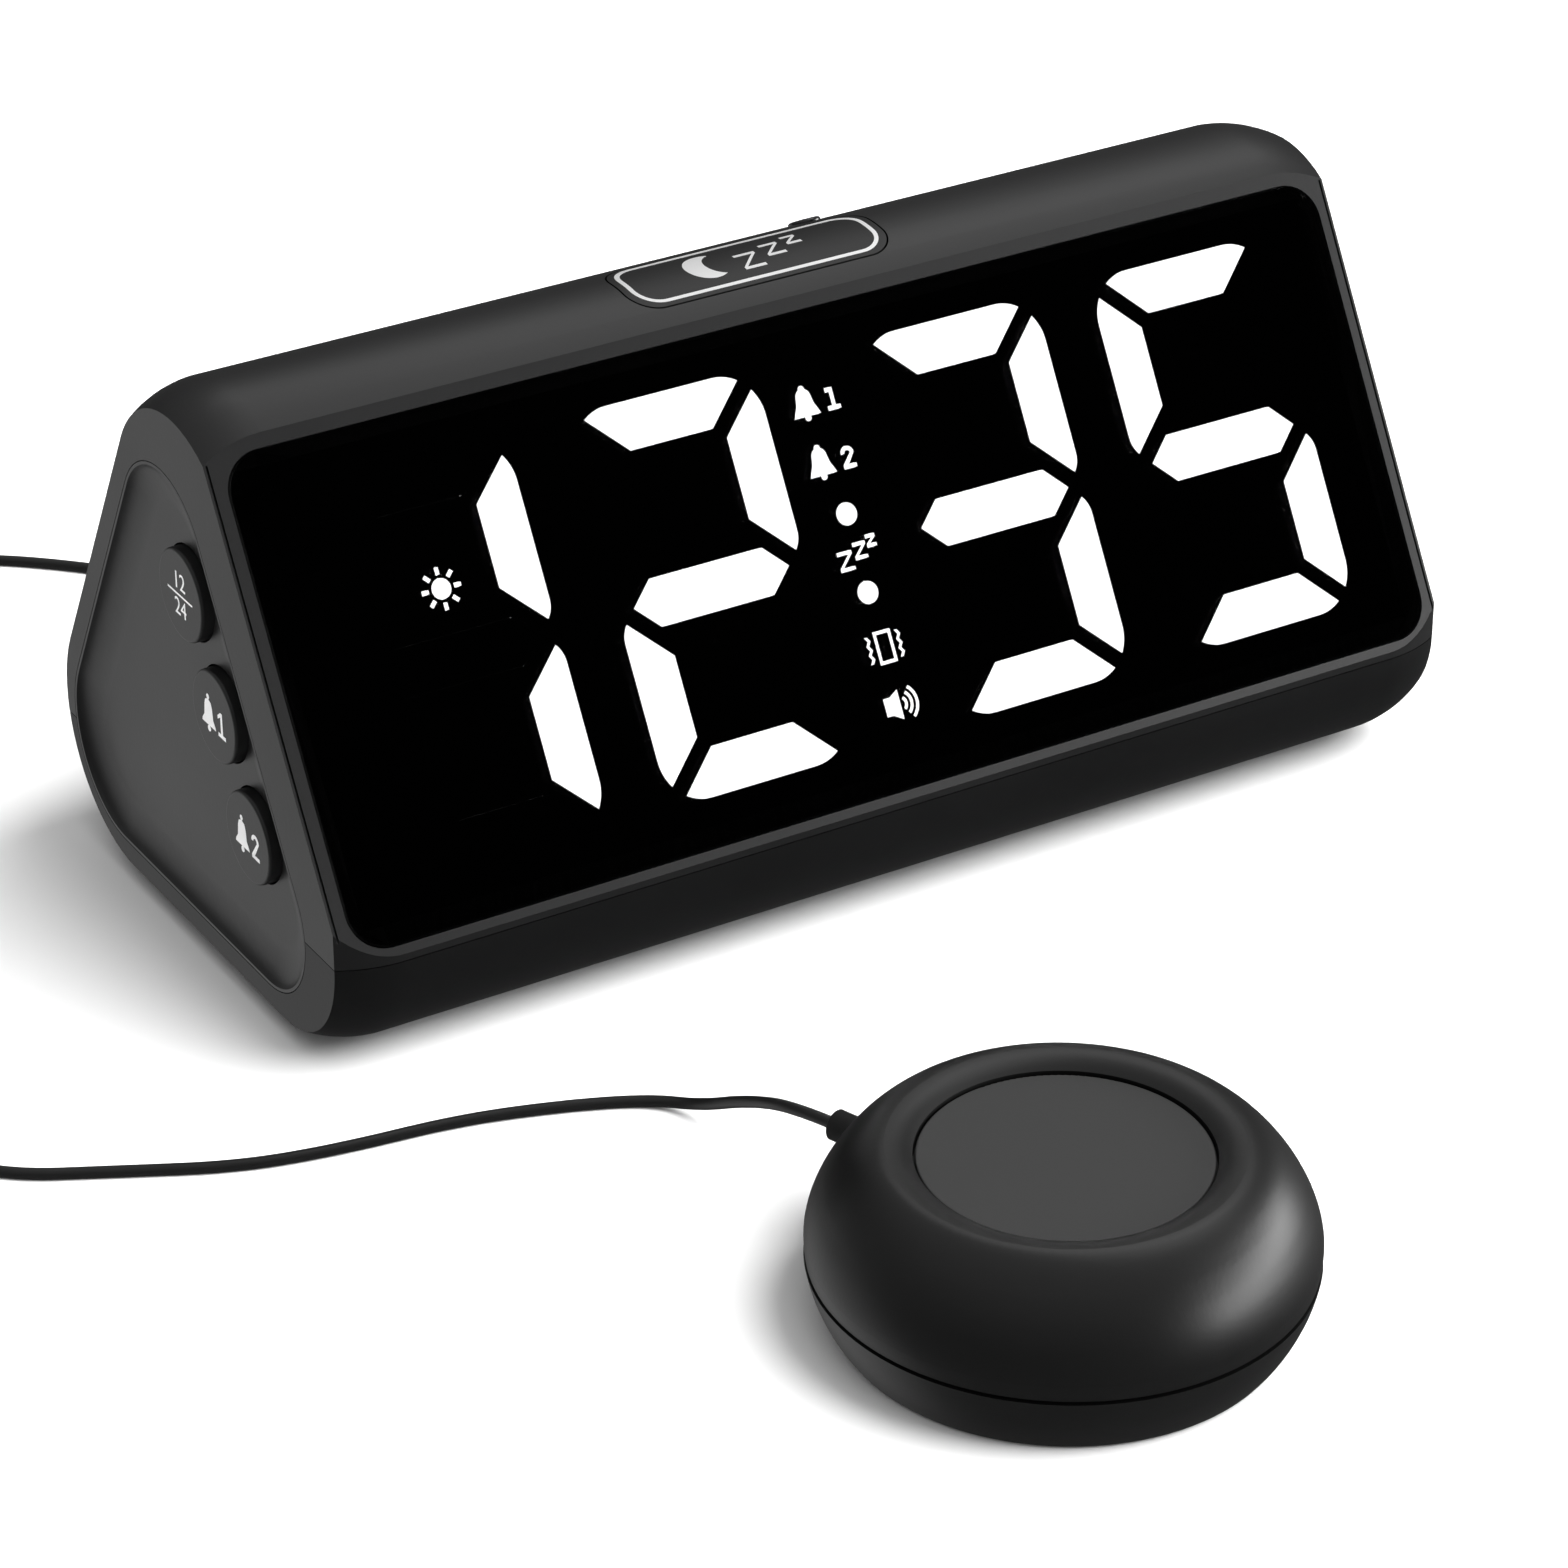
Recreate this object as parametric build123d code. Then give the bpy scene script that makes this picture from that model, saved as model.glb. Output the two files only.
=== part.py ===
from build123d import *
from math import acos, asin, atan2, cos, degrees, pi, radians, sin, sqrt, tan
import os

# A bed shaker alarm clock: a three-sided desk clock and its round shaker, joined by a cord.
# The clock faces -Y, its length runs along X, and both stand on z = 0.

# Clock body
BODY_LENGTH = 196.6
BODY_DEPTH = 96.0
FACE_TILT = 30.47
FACE_HEIGHT = 77.9
FACE_LIFT = 22.2
NOSE_DROP = 1.3
TOP_CREASE_TURN = 27.0
TOP_RADIUS = 20.42
HEEL_RADIUS = 24.0
FOOT_STAND = 0.8
END_RUN = 10.0
END_INSET = 2.8
END_STEPS = 4
WALL = 2.4
FRONT_WALL = 4.6
SEAM_HEIGHT = 21.0
SEAM_GAP = 0.15
CAVITY_NOSE_RADIUS = 14.5
CAVITY_APEX_RADIUS = 15.0
REVEAL_WIDTH = 0.35
REVEAL_DEPTH = 0.4
REVEAL_INSET = 0.55
CLEARANCE = 0.15
OVERRUN = 30.0

# End panels, dished, with three keys each
DISH_FRONT = 9.8
DISH_BOTTOM = 6.3
DISH_BACK = 6.7
DISH_NOSE_RADIUS = 13.0
DISH_HEEL_RADIUS = 16.0
DISH_APEX_RADIUS = 14.0
DISH_DEPTH = 2.0
DISH_LIP = 0.5
DISH_SLOPE = 6.5
DISH_CURVE = 1.5
DISH_STEPS = 4
PANEL_WALL = 2.0
PANEL_LEDGE = 2.0
LEDGE_DEPTH = 3.0

# Side keys
KEY_DIAMETER = 14.6
KEY_PITCH = 18.45
KEY_SETBACK = 22.3
KEY_RISE = 1.0
KEY_SINK = 0.1
KEY_GAP = 0.3
KEY_FLANGE = 1.1
KEY_FLANGE_THICKNESS = 1.0
KEY_STEM_RADIUS = 2.0
KEY_EDGE = 0.5
KEY_TRAVEL = 0.8
STEM_GAP = 0.3
SWITCH_SIDE = 6.0
SWITCH_HEIGHT = 3.4
PLUNGER_RADIUS = 1.7
PLUNGER_HEIGHT = 0.8
BOARD_THICKNESS = 1.6
KEY_BOARD_DEPTH = 12.0
KEY_BOARD_WIDTH = 12.0
KEY_POST_REACH = 29.8
POST_RADIUS = 2.6
PILOT_RADIUS = 1.05
SCREW_RADIUS = 1.0
SCREW_HEAD_RADIUS = 2.0
SCREW_HEAD_HEIGHT = 1.3
SCREW_LENGTH = 6.0

# Display
LENS_LENGTH = 191.6
LENS_HEIGHT = 74.0
LENS_DROP = 0.4
LENS_RADIUS = 6.0
LENS_THICKNESS = 2.0
LENS_SINK = 0.1
LENS_CHAMFER = 0.3
LENS_SHIFT = 0.25
MASK_LENGTH = 186.0
MASK_HEIGHT = 68.4
MASK_THICKNESS = 0.8
MASK_SKIRT = 1.2
MASK_DEPTH = 4.4
LAYER_GAP = 0.05
WEB_THICKNESS = 0.3
GUIDE_THICKNESS = 0.6
LED_HEIGHT = 0.4
LED_SIDE = 2.0
MASK_EAR = 5.0
MASK_EAR_WIDTH = 9.0
MASK_EAR_THICKNESS = 1.4
MASK_SCREW_BITE = 1.8
MASK_EAR_PLACE_SHARES = (-0.42, -0.26, 0.26, 0.42)
DIGIT_WIDTH = 32.6
DIGIT_HEIGHT = 60.2
DIGIT_ROUND = 7.3
DISPLAY_SHIFT = 0.75
DIGIT_PITCH = 42.6
DIGIT_MIDDLE_PITCH = 50.4
SEGMENT_STROKE = 7.3
SEGMENT_GAP = 2.7
SEGMENT_WAIST = 1.0
SEGMENT_TIP_ROUND = 4.3
SEGMENT_TIP_FLOOR = 0.5
SEGMENT_CLEARANCE = 0.05

# Indicators between the digits
ICON_DOT_RADIUS = 1.75
ICON_DOT_SPREAD = 6.15
ICON_DROP = 1.0
BELL_HEIGHT = 5.5
BELL_WIDTH = 4.6
BELL_SIDE_SHARES = ((-0.5, -0.36), (-0.42, -0.2), (-0.33, -0.05), (-0.27, 0.22))
BELL_DOME_SHARE = 0.4
BELL_KNOB_RADIUS = 0.5
BELL_UPPER_RISE = 22.9
BELL_LOWER_RISE = 13.7
BELL_SHIFT = 2.0
NUMERAL_HEIGHT = 3.4
NUMERAL_WIDTH = 2.2
NUMERAL_STROKE = 0.6
NUMERAL_SHIFT = 2.8
NUMERAL_DROP = 0.3
SLEEP_LETTERS = ((3.0, -2.2, -1.75), (2.6, 0.6, -0.7), (1.95, 2.8, 0.35))
WAVE_LETTER_STROKE = 0.5
WAVE_LETTER_SHARE = 0.42
PHONE_SHIFT = 0.4
PHONE_DROP = 15.8
PHONE_WIDTH = 3.0
PHONE_HEIGHT = 5.1
PHONE_STROKE = 0.45
SHAKE_REACH = 1.15
SHAKE_HEIGHT = 4.2
SHAKE_TEETH = 6
SHAKE_SWING = 0.22
SPEAKER_DROP = 24.8
SPEAKER_ICON = 4.6
HORN_SHARES = ((-0.5, 0.3), (-0.26, 0.3), (0.08, 0.5), (0.08, -0.5), (-0.26, -0.3), (-0.5, -0.3))
WAVE_REACHES = (1.1, 2.05, 3.0)
WAVE_SHIFT = 0.3
WAVE_WEDGE_SHARES = ((0.0, 0.0), (0.5, 0.6), (1.0, 0.6), (1.0, -0.6), (0.5, -0.6))
DAY_MARK_RADIUS = 1.55
DAY_MARK_RISE = 10.4
DAY_MARK_RAY = 1.1
DAY_MARK_RAYS = 8

# Snooze bar
SNOOZE_LENGTH = 45.4
SNOOZE_WIDTH = 13.4
SNOOZE_RADIUS = 4.6
SNOOZE_SHIFT = -0.8
SNOOZE_LEAN = -2.6
SNOOZE_TRAVEL = 0.8
SNOOZE_GAP = 0.3
SNOOZE_FLANGE = 1.2
SNOOZE_FLANGE_THICKNESS = 1.0
SNOOZE_STEM_LENGTH = 8.0
SNOOZE_STEM_WIDTH = 4.0
SNOOZE_BOARD_RISE = 5.0
SNOOZE_BOARD_LENGTH = 72.0
SNOOZE_BOARD_WIDTH = 12.0
SENSOR_RADIUS = 2.6
SENSOR_PROUD = 0.5
SENSOR_LEAN = 30.0
SENSOR_SHIFT = 16.0
SENSOR_SINK = 1.4
SENSOR_LEAD = 3.0
SENSOR_LEAD_RADIUS = 0.8

# Back of the clock
PORT_HEIGHT = 37.0
PORT_SINK = 0.3
PORT_BOARD_DEPTH = 13.0
PORT_BOARD_LENGTH = 104.0
PORT_BOARD_WIDTH = 12.0
PORT_BOARD_SHIFT = 25.0
JACK_SHIFT = 34.0
JACK_SIDE = 9.0
JACK_BORE = 1.8
JACK_BORE_DEPTH = 9.0
JACK_COLLAR = 3.4
INLET_SHIFT = 58.0
INLET_BORE_DEPTH = 9.5
INLET_SIDE = 9.6
INLET_BORE = 2.8
INLET_PIN = 1.0
INLET_COLLAR = 3.9
USB_SHIFT = 12.0
USB_WIDTH = 14.0
USB_HEIGHT = 6.6
USB_WALL = 0.5
USB_TONGUE = 1.8
DIMMER_SHIFT = -9.0
DIMMER_GAP = 0.3
DIMMER_FLANGE = 1.0
DIMMER_RIDGES = 4
DIMMER_LENGTH = 12.0
DIMMER_HEIGHT = 6.0
DIMMER_KNOB_LENGTH = 4.0
DIMMER_KNOB_WIDTH = 3.0
DIMMER_KNOB_PROUD = 1.0
DIMMER_TRAVEL = 2.0
SPEAKER_SHIFT = -50.0
SPEAKER_RISE = 16.0
SPEAKER_RADIUS = 17.0
SPEAKER_DEPTH = 11.0
SPEAKER_MAGNET_RADIUS = 9.0
SPEAKER_FLANGE = 2.0
SPEAKER_RING = 1.5
GRILLE_SLOTS = 7
GRILLE_PITCH = 3.8
GRILLE_SLOT = 1.6
GRILLE_REACH = 13.5

# Base
FOOT_RADIUS = 5.0
FOOT_INSET_X = 16.0
FOOT_FRONT_INSET = 26.0
FOOT_BACK_INSET = 36.0
FOOT_DEPTH = 1.0
BASE_SCREW_REACH = 70.0
BASE_SCREW_INSET = 27.0
BASE_BOSS_RISE = 8.0
BASE_RIB = 2.0
BASE_RIB_HEIGHT = 3.0
BASE_BOSS_RADIUS = 3.6
BASE_POST_RADIUS = 4.6
BASE_SCREW_LENGTH = 23.0
BASE_SCREW_RADIUS = 1.5
BASE_SCREW_HEAD = 2.8
BASE_SCREW_HEAD_HEIGHT = 1.8
BASE_SCREW_SINK = 2.6
BASE_TAB_WIDTH = 12.0
BASE_TAB_RISE = 1.5
BASE_TAB_THICKNESS = 1.6
BASE_TAB_PLACE_SHARES = (-0.3, 0.0, 0.3)
MAIN_BOARD_LENGTH = 104.0
MAIN_BOARD_WIDTH = 36.0
MAIN_BOARD_INSET = 28.0
MAIN_BOARD_RISE = 5.0
MAIN_BOARD_SHIFT = -16.0
CHIP_SIDE = 12.0
CHIP_HEIGHT = 2.0
CAPACITOR_RADIUS = 4.0
CAPACITOR_HEIGHT = 9.0
CELL_RADIUS = 10.0
CELL_THICKNESS = 3.2
CELL_INSET = 36.3
CELL_WALL = 3.2
CELL_GAP = 0.2
CELL_ROOF = 1.6
DOOR_MARGIN = 2.4
DOOR_GAP = 0.2
DOOR_EAR_REACH = 16.6
DOOR_EAR_RADIUS = 3.4
DOOR_EAR_THICKNESS = 1.2
DOOR_GROOVE = 1.0
DOOR_SCREW_LENGTH = 4.0
DOOR_SCREW_HEAD = 0.6

# Shaker
SHAKER_RADIUS = 35.4
SHAKER_HEIGHT = 27.5
SHAKER_X = -38.9
SHAKER_DISTANCE = 145.5
SHAKER_FLOOR = 0.6
SHAKER_SEAM = 10.4
SHAKER_SEAM_GAP = 0.45
SHAKER_WALL = 2.2
SHAKER_DISC_RADIUS = 20.4
SHAKER_DISC_TOP = 25.8
SHAKER_DISC_THICKNESS = 1.6
SHAKER_DISC_GAP = 0.3
SHAKER_LIP_DROP = 1.35
SHAKER_FOOT_RADIUS = 31.4
SHAKER_PAD_OUTER = 25.5
SHAKER_PAD_INNER = 20.5
SHAKER_PAD_THICKNESS = 1.2
CREST_RADIUS = 24.6
WIDEST_HEIGHT = 13.0
CROWN_HANDLE_SHARE = 0.4
SHAKER_SIDE_DRAW = 0.2
MOTOR_RADIUS = 12.0
MOTOR_HEIGHT = 11.0
SHAFT_RADIUS = 1.5
SHAFT_GAP = 0.05
SHAFT_SEAT = 4.0
WEIGHT_RADIUS = 16.0
WEIGHT_HEIGHT = 4.6
WEIGHT_HUB = 4.0
WEIGHT_GAP = 0.4
BRACKET_THICKNESS = 1.5
BRACKET_RADIUS = 17.0
BRACKET_EAR_REACH = 21.0
BRACKET_RISE = 7.0
SHAKER_BOSS_REACH = 28.5
SHAKER_BOSS_RADIUS = 3.0
SHAKER_SCREW_SINK = 2.6
SHAKER_SCREW_LENGTH = 13.0
EXIT_ANGLE = 110.0
EXIT_HEIGHT = 14.6
RELIEF_RADIUS = 2.3
RELIEF_COLLAR = 2.9
RELIEF_COLLAR_LENGTH = 1.4
RELIEF_LENGTH = 4.2
RELIEF_ROOT = 3.0

# Cord
CORD_DIAMETER = 1.8
CORD_PLUG_RADIUS = 3.0
CORD_PLUG_LENGTH = 11.0
CORD_PLUG_TAPER = 7.0
CORD_PLUG_END_RADIUS = 1.6
CORD_PLUG_TIP_RADIUS = 1.7
CORD_PLUG_TIP = 8.0
PLUG_STEP = 0.6
BEND_SHARE = 0.45
COIL_LOOPS_A_LAYER = 5
COIL_LAYERS = 4
COIL_MIDDLE_RADIUS = 10.8
COIL_PITCH = 2.7
COIL_LAYER_RISE = 2.5
COIL_X = -162.0
COIL_Y = 81.0
COIL_SAMPLES = 48

# Places worked out from the sizes above
CLOCK_Y = (SHAKER_DISTANCE + SHAKER_RADIUS - BODY_DEPTH / 2) / 2
SHAKER_Y = CLOCK_Y - SHAKER_DISTANCE
FRONT_Y = CLOCK_Y - BODY_DEPTH / 2
BACK_Y = CLOCK_Y + BODY_DEPTH / 2
END_X = BODY_LENGTH / 2
FACE_UP = (sin(radians(FACE_TILT)), cos(radians(FACE_TILT)))
FACE_OUT = (-FACE_UP[1], FACE_UP[0])
CREASE_LEAN = FACE_TILT + TOP_CREASE_TURN
TOP_START = CREASE_LEAN - 90
NOSE_RADIUS = FACE_LIFT - NOSE_DROP - FOOT_STAND
LOW_CREASE = (FRONT_Y, FACE_LIFT)
HEEL_CENTRE = (BACK_Y - HEEL_RADIUS, FOOT_STAND + HEEL_RADIUS)


def dot(a, b):
    return a[0] * b[0] + a[1] * b[1]


def step(point, direction, distance):
    return (point[0] + direction[0] * distance, point[1] + direction[1] * distance)


def lean(angle):
    """Direction in the YZ plane that leans back from the vertical by an angle."""
    return (sin(radians(angle)), cos(radians(angle)))


def back_tilt():
    """Tilt of the flat back, which touches both the rounded top and the heel."""
    run = (HEEL_CENTRE[0] - TOP_CENTRE[0], HEEL_CENTRE[1] - TOP_CENTRE[1])
    share = (TOP_RADIUS - HEEL_RADIUS) / sqrt(dot(run, run))
    return degrees(atan2(run[1], run[0]) + acos(share))


TOP_CENTRE = step(step(LOW_CREASE, FACE_UP, FACE_HEIGHT), lean(TOP_START), -TOP_RADIUS)
BACK_TILT = back_tilt()
BACK_OUT = (cos(radians(BACK_TILT)), sin(radians(BACK_TILT)))
TOP_END = 90 - BACK_TILT
FACE_REACH = dot(FACE_OUT, LOW_CREASE)
BACK_REACH = dot(BACK_OUT, HEEL_CENTRE) + HEEL_RADIUS


def top_arc(inset):
    """Centre and radius of the rounded top, drawn in by inset."""
    high = step(LOW_CREASE, FACE_UP, FACE_HEIGHT - inset)
    sweep = radians(TOP_END - TOP_START)
    radius = (BACK_REACH - inset - dot(BACK_OUT, high)) / (1 - cos(sweep))
    return step(high, lean(TOP_START), -radius), radius


FACE_CENTRE = step(LOW_CREASE, FACE_UP, FACE_HEIGHT / 2)
FACE = Plane(
    origin=(0, *FACE_CENTRE),
    x_dir=(1, 0, 0),
    z_dir=(0, *FACE_OUT),
)


def at(x, point):
    return Vector(x, *point)


def line(x, start, end):
    return Edge.make_line(at(x, start), at(x, end))


def arc(x, start, middle, end):
    return Edge.make_three_point_arc(at(x, start), at(x, middle), at(x, end))


def body_section(x, inset):
    """The clock's three-sided outline at x, drawn in by inset except on its flat face."""
    low = (FRONT_Y + inset, FACE_LIFT + inset / tan(radians(FACE_TILT)))
    high = step(LOW_CREASE, FACE_UP, FACE_HEIGHT - inset)
    centre, radius = top_arc(inset)
    top_mid = step(centre, lean((TOP_START + TOP_END) / 2), radius)
    top_end = step(centre, lean(TOP_END), radius)
    heel = HEEL_RADIUS - inset
    heel_start = step(HEEL_CENTRE, BACK_OUT, heel)
    heel_mid = step(HEEL_CENTRE, lean((TOP_END + 180) / 2), heel)
    heel_end = step(HEEL_CENTRE, (0, -1), heel)
    nose = NOSE_RADIUS - inset
    nose_centre = (FRONT_Y + NOSE_RADIUS, FOOT_STAND + NOSE_RADIUS)
    nose_start = step(nose_centre, (0, -1), nose)
    nose_mid = step(nose_centre, lean(225), nose)
    nose_end = step(nose_centre, (-1, 0), nose)
    return Wire(
        [
            line(x, low, high),
            arc(x, high, top_mid, top_end),
            line(x, top_end, heel_start),
            arc(x, heel_start, heel_mid, heel_end),
            line(x, heel_end, nose_start),
            arc(x, nose_start, nose_mid, nose_end),
            line(x, nose_end, low),
        ]
    )


def meet(out_a, reach_a, out_b, reach_b):
    """The point on two lines, each given by its outward direction and reach."""
    area = out_a[0] * out_b[1] - out_a[1] * out_b[0]
    return (
        (reach_a * out_b[1] - reach_b * out_a[1]) / area,
        (out_a[0] * reach_b - out_b[0] * reach_a) / area,
    )


def rounded_section(x, front, bottom, back, nose, heel, apex):
    """A rounded triangle set in from the body's three sides."""
    down = (0, -1)
    face_reach = FACE_REACH - front
    back_reach = BACK_REACH - back
    floor_reach = -FOOT_STAND - bottom
    corners = [
        meet(FACE_OUT, face_reach, BACK_OUT, back_reach),
        meet(BACK_OUT, back_reach, down, floor_reach),
        meet(down, floor_reach, FACE_OUT, face_reach),
    ]
    radii = [apex, heel, nose]
    arcs = []
    for i in range(3):
        corner = Vector(*corners[i])
        before = (Vector(*corners[i - 1]) - corner).normalized()
        after = (Vector(*corners[(i + 1) % 3]) - corner).normalized()
        half = acos(before.dot(after)) / 2
        inward = (before + after).normalized()
        centre = corner + inward * (radii[i] / sin(half))
        start = corner + before * (radii[i] / tan(half))
        end = corner + after * (radii[i] / tan(half))
        middle = centre - inward * radii[i]
        arcs.append([(p.X, p.Y) for p in (start, middle, end)])
    edges = []
    for i in range(3):
        edges.append(arc(x, *arcs[i]))
        edges.append(line(x, arcs[i][2], arcs[(i + 1) % 3][0]))
    return Wire(edges)


def prism(wire, length):
    """A straight run of a YZ outline towards +X."""
    return extrude(Face(wire), amount=length, dir=(1, 0, 0))


def mirrored(shape):
    return mirror(shape, about=Plane.YZ)


def block(x, y, z, length, width, height):
    return Pos(x, y, z) * Box(length, width, height)


def end_inset(run):
    """How far the skin has drawn in, run along the rounded end: an arc of a circle."""
    radius = (END_RUN**2 + END_INSET**2) / (2 * END_INSET)
    return radius - sqrt(radius**2 - run**2)


def body_blank():
    """The whole clock outline as one solid, its ends rounded in."""
    middle = prism(body_section(END_RUN - END_X, 0), BODY_LENGTH - 2 * END_RUN)
    runs = [END_RUN * i / END_STEPS for i in range(END_STEPS + 1)]
    wires = [body_section(END_X - END_RUN + run, end_inset(run)) for run in runs]
    cap = Solid.make_loft(wires)
    return middle + cap + mirrored(cap)


def dish_outline(x, inset):
    return rounded_section(
        x,
        DISH_FRONT + inset,
        DISH_BOTTOM + inset,
        DISH_BACK + inset,
        DISH_NOSE_RADIUS - inset,
        DISH_HEEL_RADIUS - inset,
        DISH_APEX_RADIUS - inset,
    )


def slanted_box(plane, x, y, near, far, length, height):
    """A box on a plane from depth near to depth far below it."""
    return plane * Pos(x, y, -(near + far) / 2) * Box(length, height, far - near)


def slanted_rod(plane, x, y, near, far, radius):
    return plane * Pos(x, y, -(near + far) / 2) * Cylinder(radius, far - near)


# Planes of the top and the back
SNOOZE = Plane(
    origin=(SNOOZE_SHIFT, *TOP_CENTRE),
    x_dir=(1, 0, 0),
    z_dir=(0, *lean(SNOOZE_LEAN)),
)
SENSOR = Plane(
    origin=(SENSOR_SHIFT, *TOP_CENTRE),
    x_dir=(1, 0, 0),
    z_dir=(0, *lean(SENSOR_LEAN)),
)
FACE_BACK = Plane(origin=(0, *FACE_CENTRE), x_dir=(-1, 0, 0), z_dir=(0, -FACE_OUT[0], -FACE_OUT[1]))
REAR = Plane(
    origin=(0, (BACK_REACH - BACK_OUT[1] * PORT_HEIGHT) / BACK_OUT[0], PORT_HEIGHT),
    x_dir=(-1, 0, 0),
    z_dir=(0, *BACK_OUT),
)


def key_plane(side, place):
    """Plane of one side key: its origin on the rim plane, its normal out of the clock."""
    centre = step(FACE_CENTRE, FACE_UP, KEY_RISE + place * KEY_PITCH)
    centre = step(centre, FACE_OUT, -KEY_SETBACK)
    return Plane(
        origin=(side * END_X, *centre),
        x_dir=(0, -side * FACE_UP[1], side * FACE_UP[0]),
        z_dir=(side, 0, 0),
    )


def top_shell_cut(length, width, radius_in, radius_out):
    """A curved slab under the top: between two cylinders, inside a box on the snooze plane."""
    tube = Cylinder(radius_out, length, rotation=(0, 90, 0))
    tube -= Cylinder(radius_in, length + OVERRUN, rotation=(0, 90, 0))
    half = Pos(0, 0, radius_out) * Box(length, width, 2 * radius_out)
    return SNOOZE * (tube & half)


def snooze_outline(grow):
    return RectangleRounded(
        SNOOZE_LENGTH + 2 * grow, SNOOZE_WIDTH + 2 * grow, SNOOZE_RADIUS + grow
    )


# Digit segments, drawn in a digit's own frame with its centre at the origin
def mid_tips(rise):
    """What the rounded tips beside the middle segment leave of the upper or lower half."""
    middle = rise * (SEGMENT_TIP_FLOOR + DIGIT_HEIGHT / 2)
    return Pos(0, middle) * RectangleRounded(DIGIT_WIDTH, DIGIT_HEIGHT, SEGMENT_TIP_ROUND)


def segment(name):
    """One of the seven segments, a to g, as a face."""
    half_width = DIGIT_WIDTH / 2
    half_height = DIGIT_HEIGHT / 2
    stroke = SEGMENT_STROKE
    gap = SEGMENT_GAP / sqrt(2)
    waist = SEGMENT_WAIST
    if name == "g":
        reach = half_width - waist - gap
        half_stroke = stroke / 2
        points = [
            (-reach, 0),
            (half_stroke - reach, -half_stroke),
            (reach - half_stroke, -half_stroke),
            (reach, 0),
            (reach - half_stroke, half_stroke),
            (half_stroke - reach, half_stroke),
        ]
        return make_face(Polyline(*points, points[0])).faces()[0]
    whole = RectangleRounded(DIGIT_WIDTH, DIGIT_HEIGHT, DIGIT_ROUND)
    if name in "ad":
        sign = 1 if name == "a" else -1
        inner = half_width - gap - stroke
        points = [
            (-half_width + gap, sign * half_height),
            (-inner, sign * (half_height - stroke)),
            (inner, sign * (half_height - stroke)),
            (half_width - gap, sign * half_height),
        ]
        return (make_face(Polyline(*points, points[0])) & whole).faces()[0]
    side = 1 if name in "bc" else -1
    rise = 1 if name in "bf" else -1
    points = [
        (side * half_width, rise * waist),
        (side * (half_width - stroke), rise * (waist + stroke)),
        (side * (half_width - stroke), rise * (half_height - gap - stroke)),
        (side * half_width, rise * (half_height - gap)),
    ]
    return (make_face(Polyline(*points, points[0])) & whole & mid_tips(rise)).faces()[0]


LIT = {"hours_tens": "bc", "hours_ones": "abged", "minutes_tens": "abgcd", "minutes_ones": "afgcd"}
DIGIT_SPREAD = DIGIT_MIDDLE_PITCH / 2 + DIGIT_PITCH
DIGIT_X = {
    "hours_tens": DISPLAY_SHIFT - DIGIT_SPREAD,
    "hours_ones": DISPLAY_SHIFT - DIGIT_MIDDLE_PITCH / 2,
    "minutes_tens": DISPLAY_SHIFT + DIGIT_MIDDLE_PITCH / 2,
    "minutes_ones": DISPLAY_SHIFT + DIGIT_SPREAD,
}


def grown(face, distance):
    """A face made larger all round, a hole in it made smaller."""
    outer = offset(Face(face.outer_wire()), amount=distance, kind=Kind.ARC)
    shape = make_face(outer.edges())
    for wire in face.inner_wires():
        shape -= make_face(offset(Face(wire), amount=-distance, kind=Kind.ARC).edges())
    return shape


def shape_from(shares, width, height):
    """A closed outline from its corners in shares of a width and a height."""
    points = [(across * width, up * height) for across, up in shares]
    return make_face(Polyline(*points, points[0]))


def bell(x, y):
    """A small bell: a domed bow with a flared rim, a knob and a clapper."""
    left = [(across * BELL_WIDTH, up * BELL_HEIGHT) for across, up in BELL_SIDE_SHARES]
    right = [(-across, up) for across, up in reversed(left)]
    dome = (0, BELL_DOME_SHARE * BELL_HEIGHT)
    bow = Polyline(*left) + ThreePointArc(left[-1], dome, right[0])
    bow += Polyline(*right, left[0])
    shape = make_face(bow) + Pos(*dome) * Circle(BELL_KNOB_RADIUS)
    shape += Pos(0, BELL_KNOB_RADIUS - BELL_HEIGHT / 2) * Circle(BELL_KNOB_RADIUS)
    return Pos(x, y) * shape


def numeral(digit, x, y):
    """A plain 1 or 2 made of strokes."""
    w = NUMERAL_WIDTH
    h = NUMERAL_HEIGHT
    s = NUMERAL_STROKE
    foot = Pos(0, (s - h) / 2) * Rectangle(w, s)
    if digit == 1:
        flag = Pos((s - w) / 4, (h - s) / 2) * Rectangle(w / 2, s)
        return Pos(x, y) * (Rectangle(s, h) + foot + flag)
    bow = Pos(0, (h - w) / 2) * (Circle(w / 2) - Circle(w / 2 - s))
    bow -= Pos(0, h / 2 - w) * Rectangle(w, w)
    low = (s - w) / 2
    side = Polyline(
        (w / 2, (h - w) / 2),
        (w / 2 - s, (h - w) / 2),
        (-w / 2, s - h / 2),
        (low + s, s - h / 2),
        (w / 2, (h - w) / 2),
    )
    return Pos(x, y) * (bow + make_face(side) + foot)


def sleep_letter(size, x, y):
    """One z of the sleep mark."""
    s = WAVE_LETTER_STROKE
    h = size / 2
    w = WAVE_LETTER_SHARE * size
    outline = Polyline(
        (-w, h),
        (w, h),
        (w, h - s),
        (s - w, s - h),
        (w, s - h),
        (w, -h),
        (-w, -h),
        (-w, s - h),
        (w - s, h - s),
        (-w, h - s),
        (-w, h),
    )
    return Pos(x, y) * make_face(outline)


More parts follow.
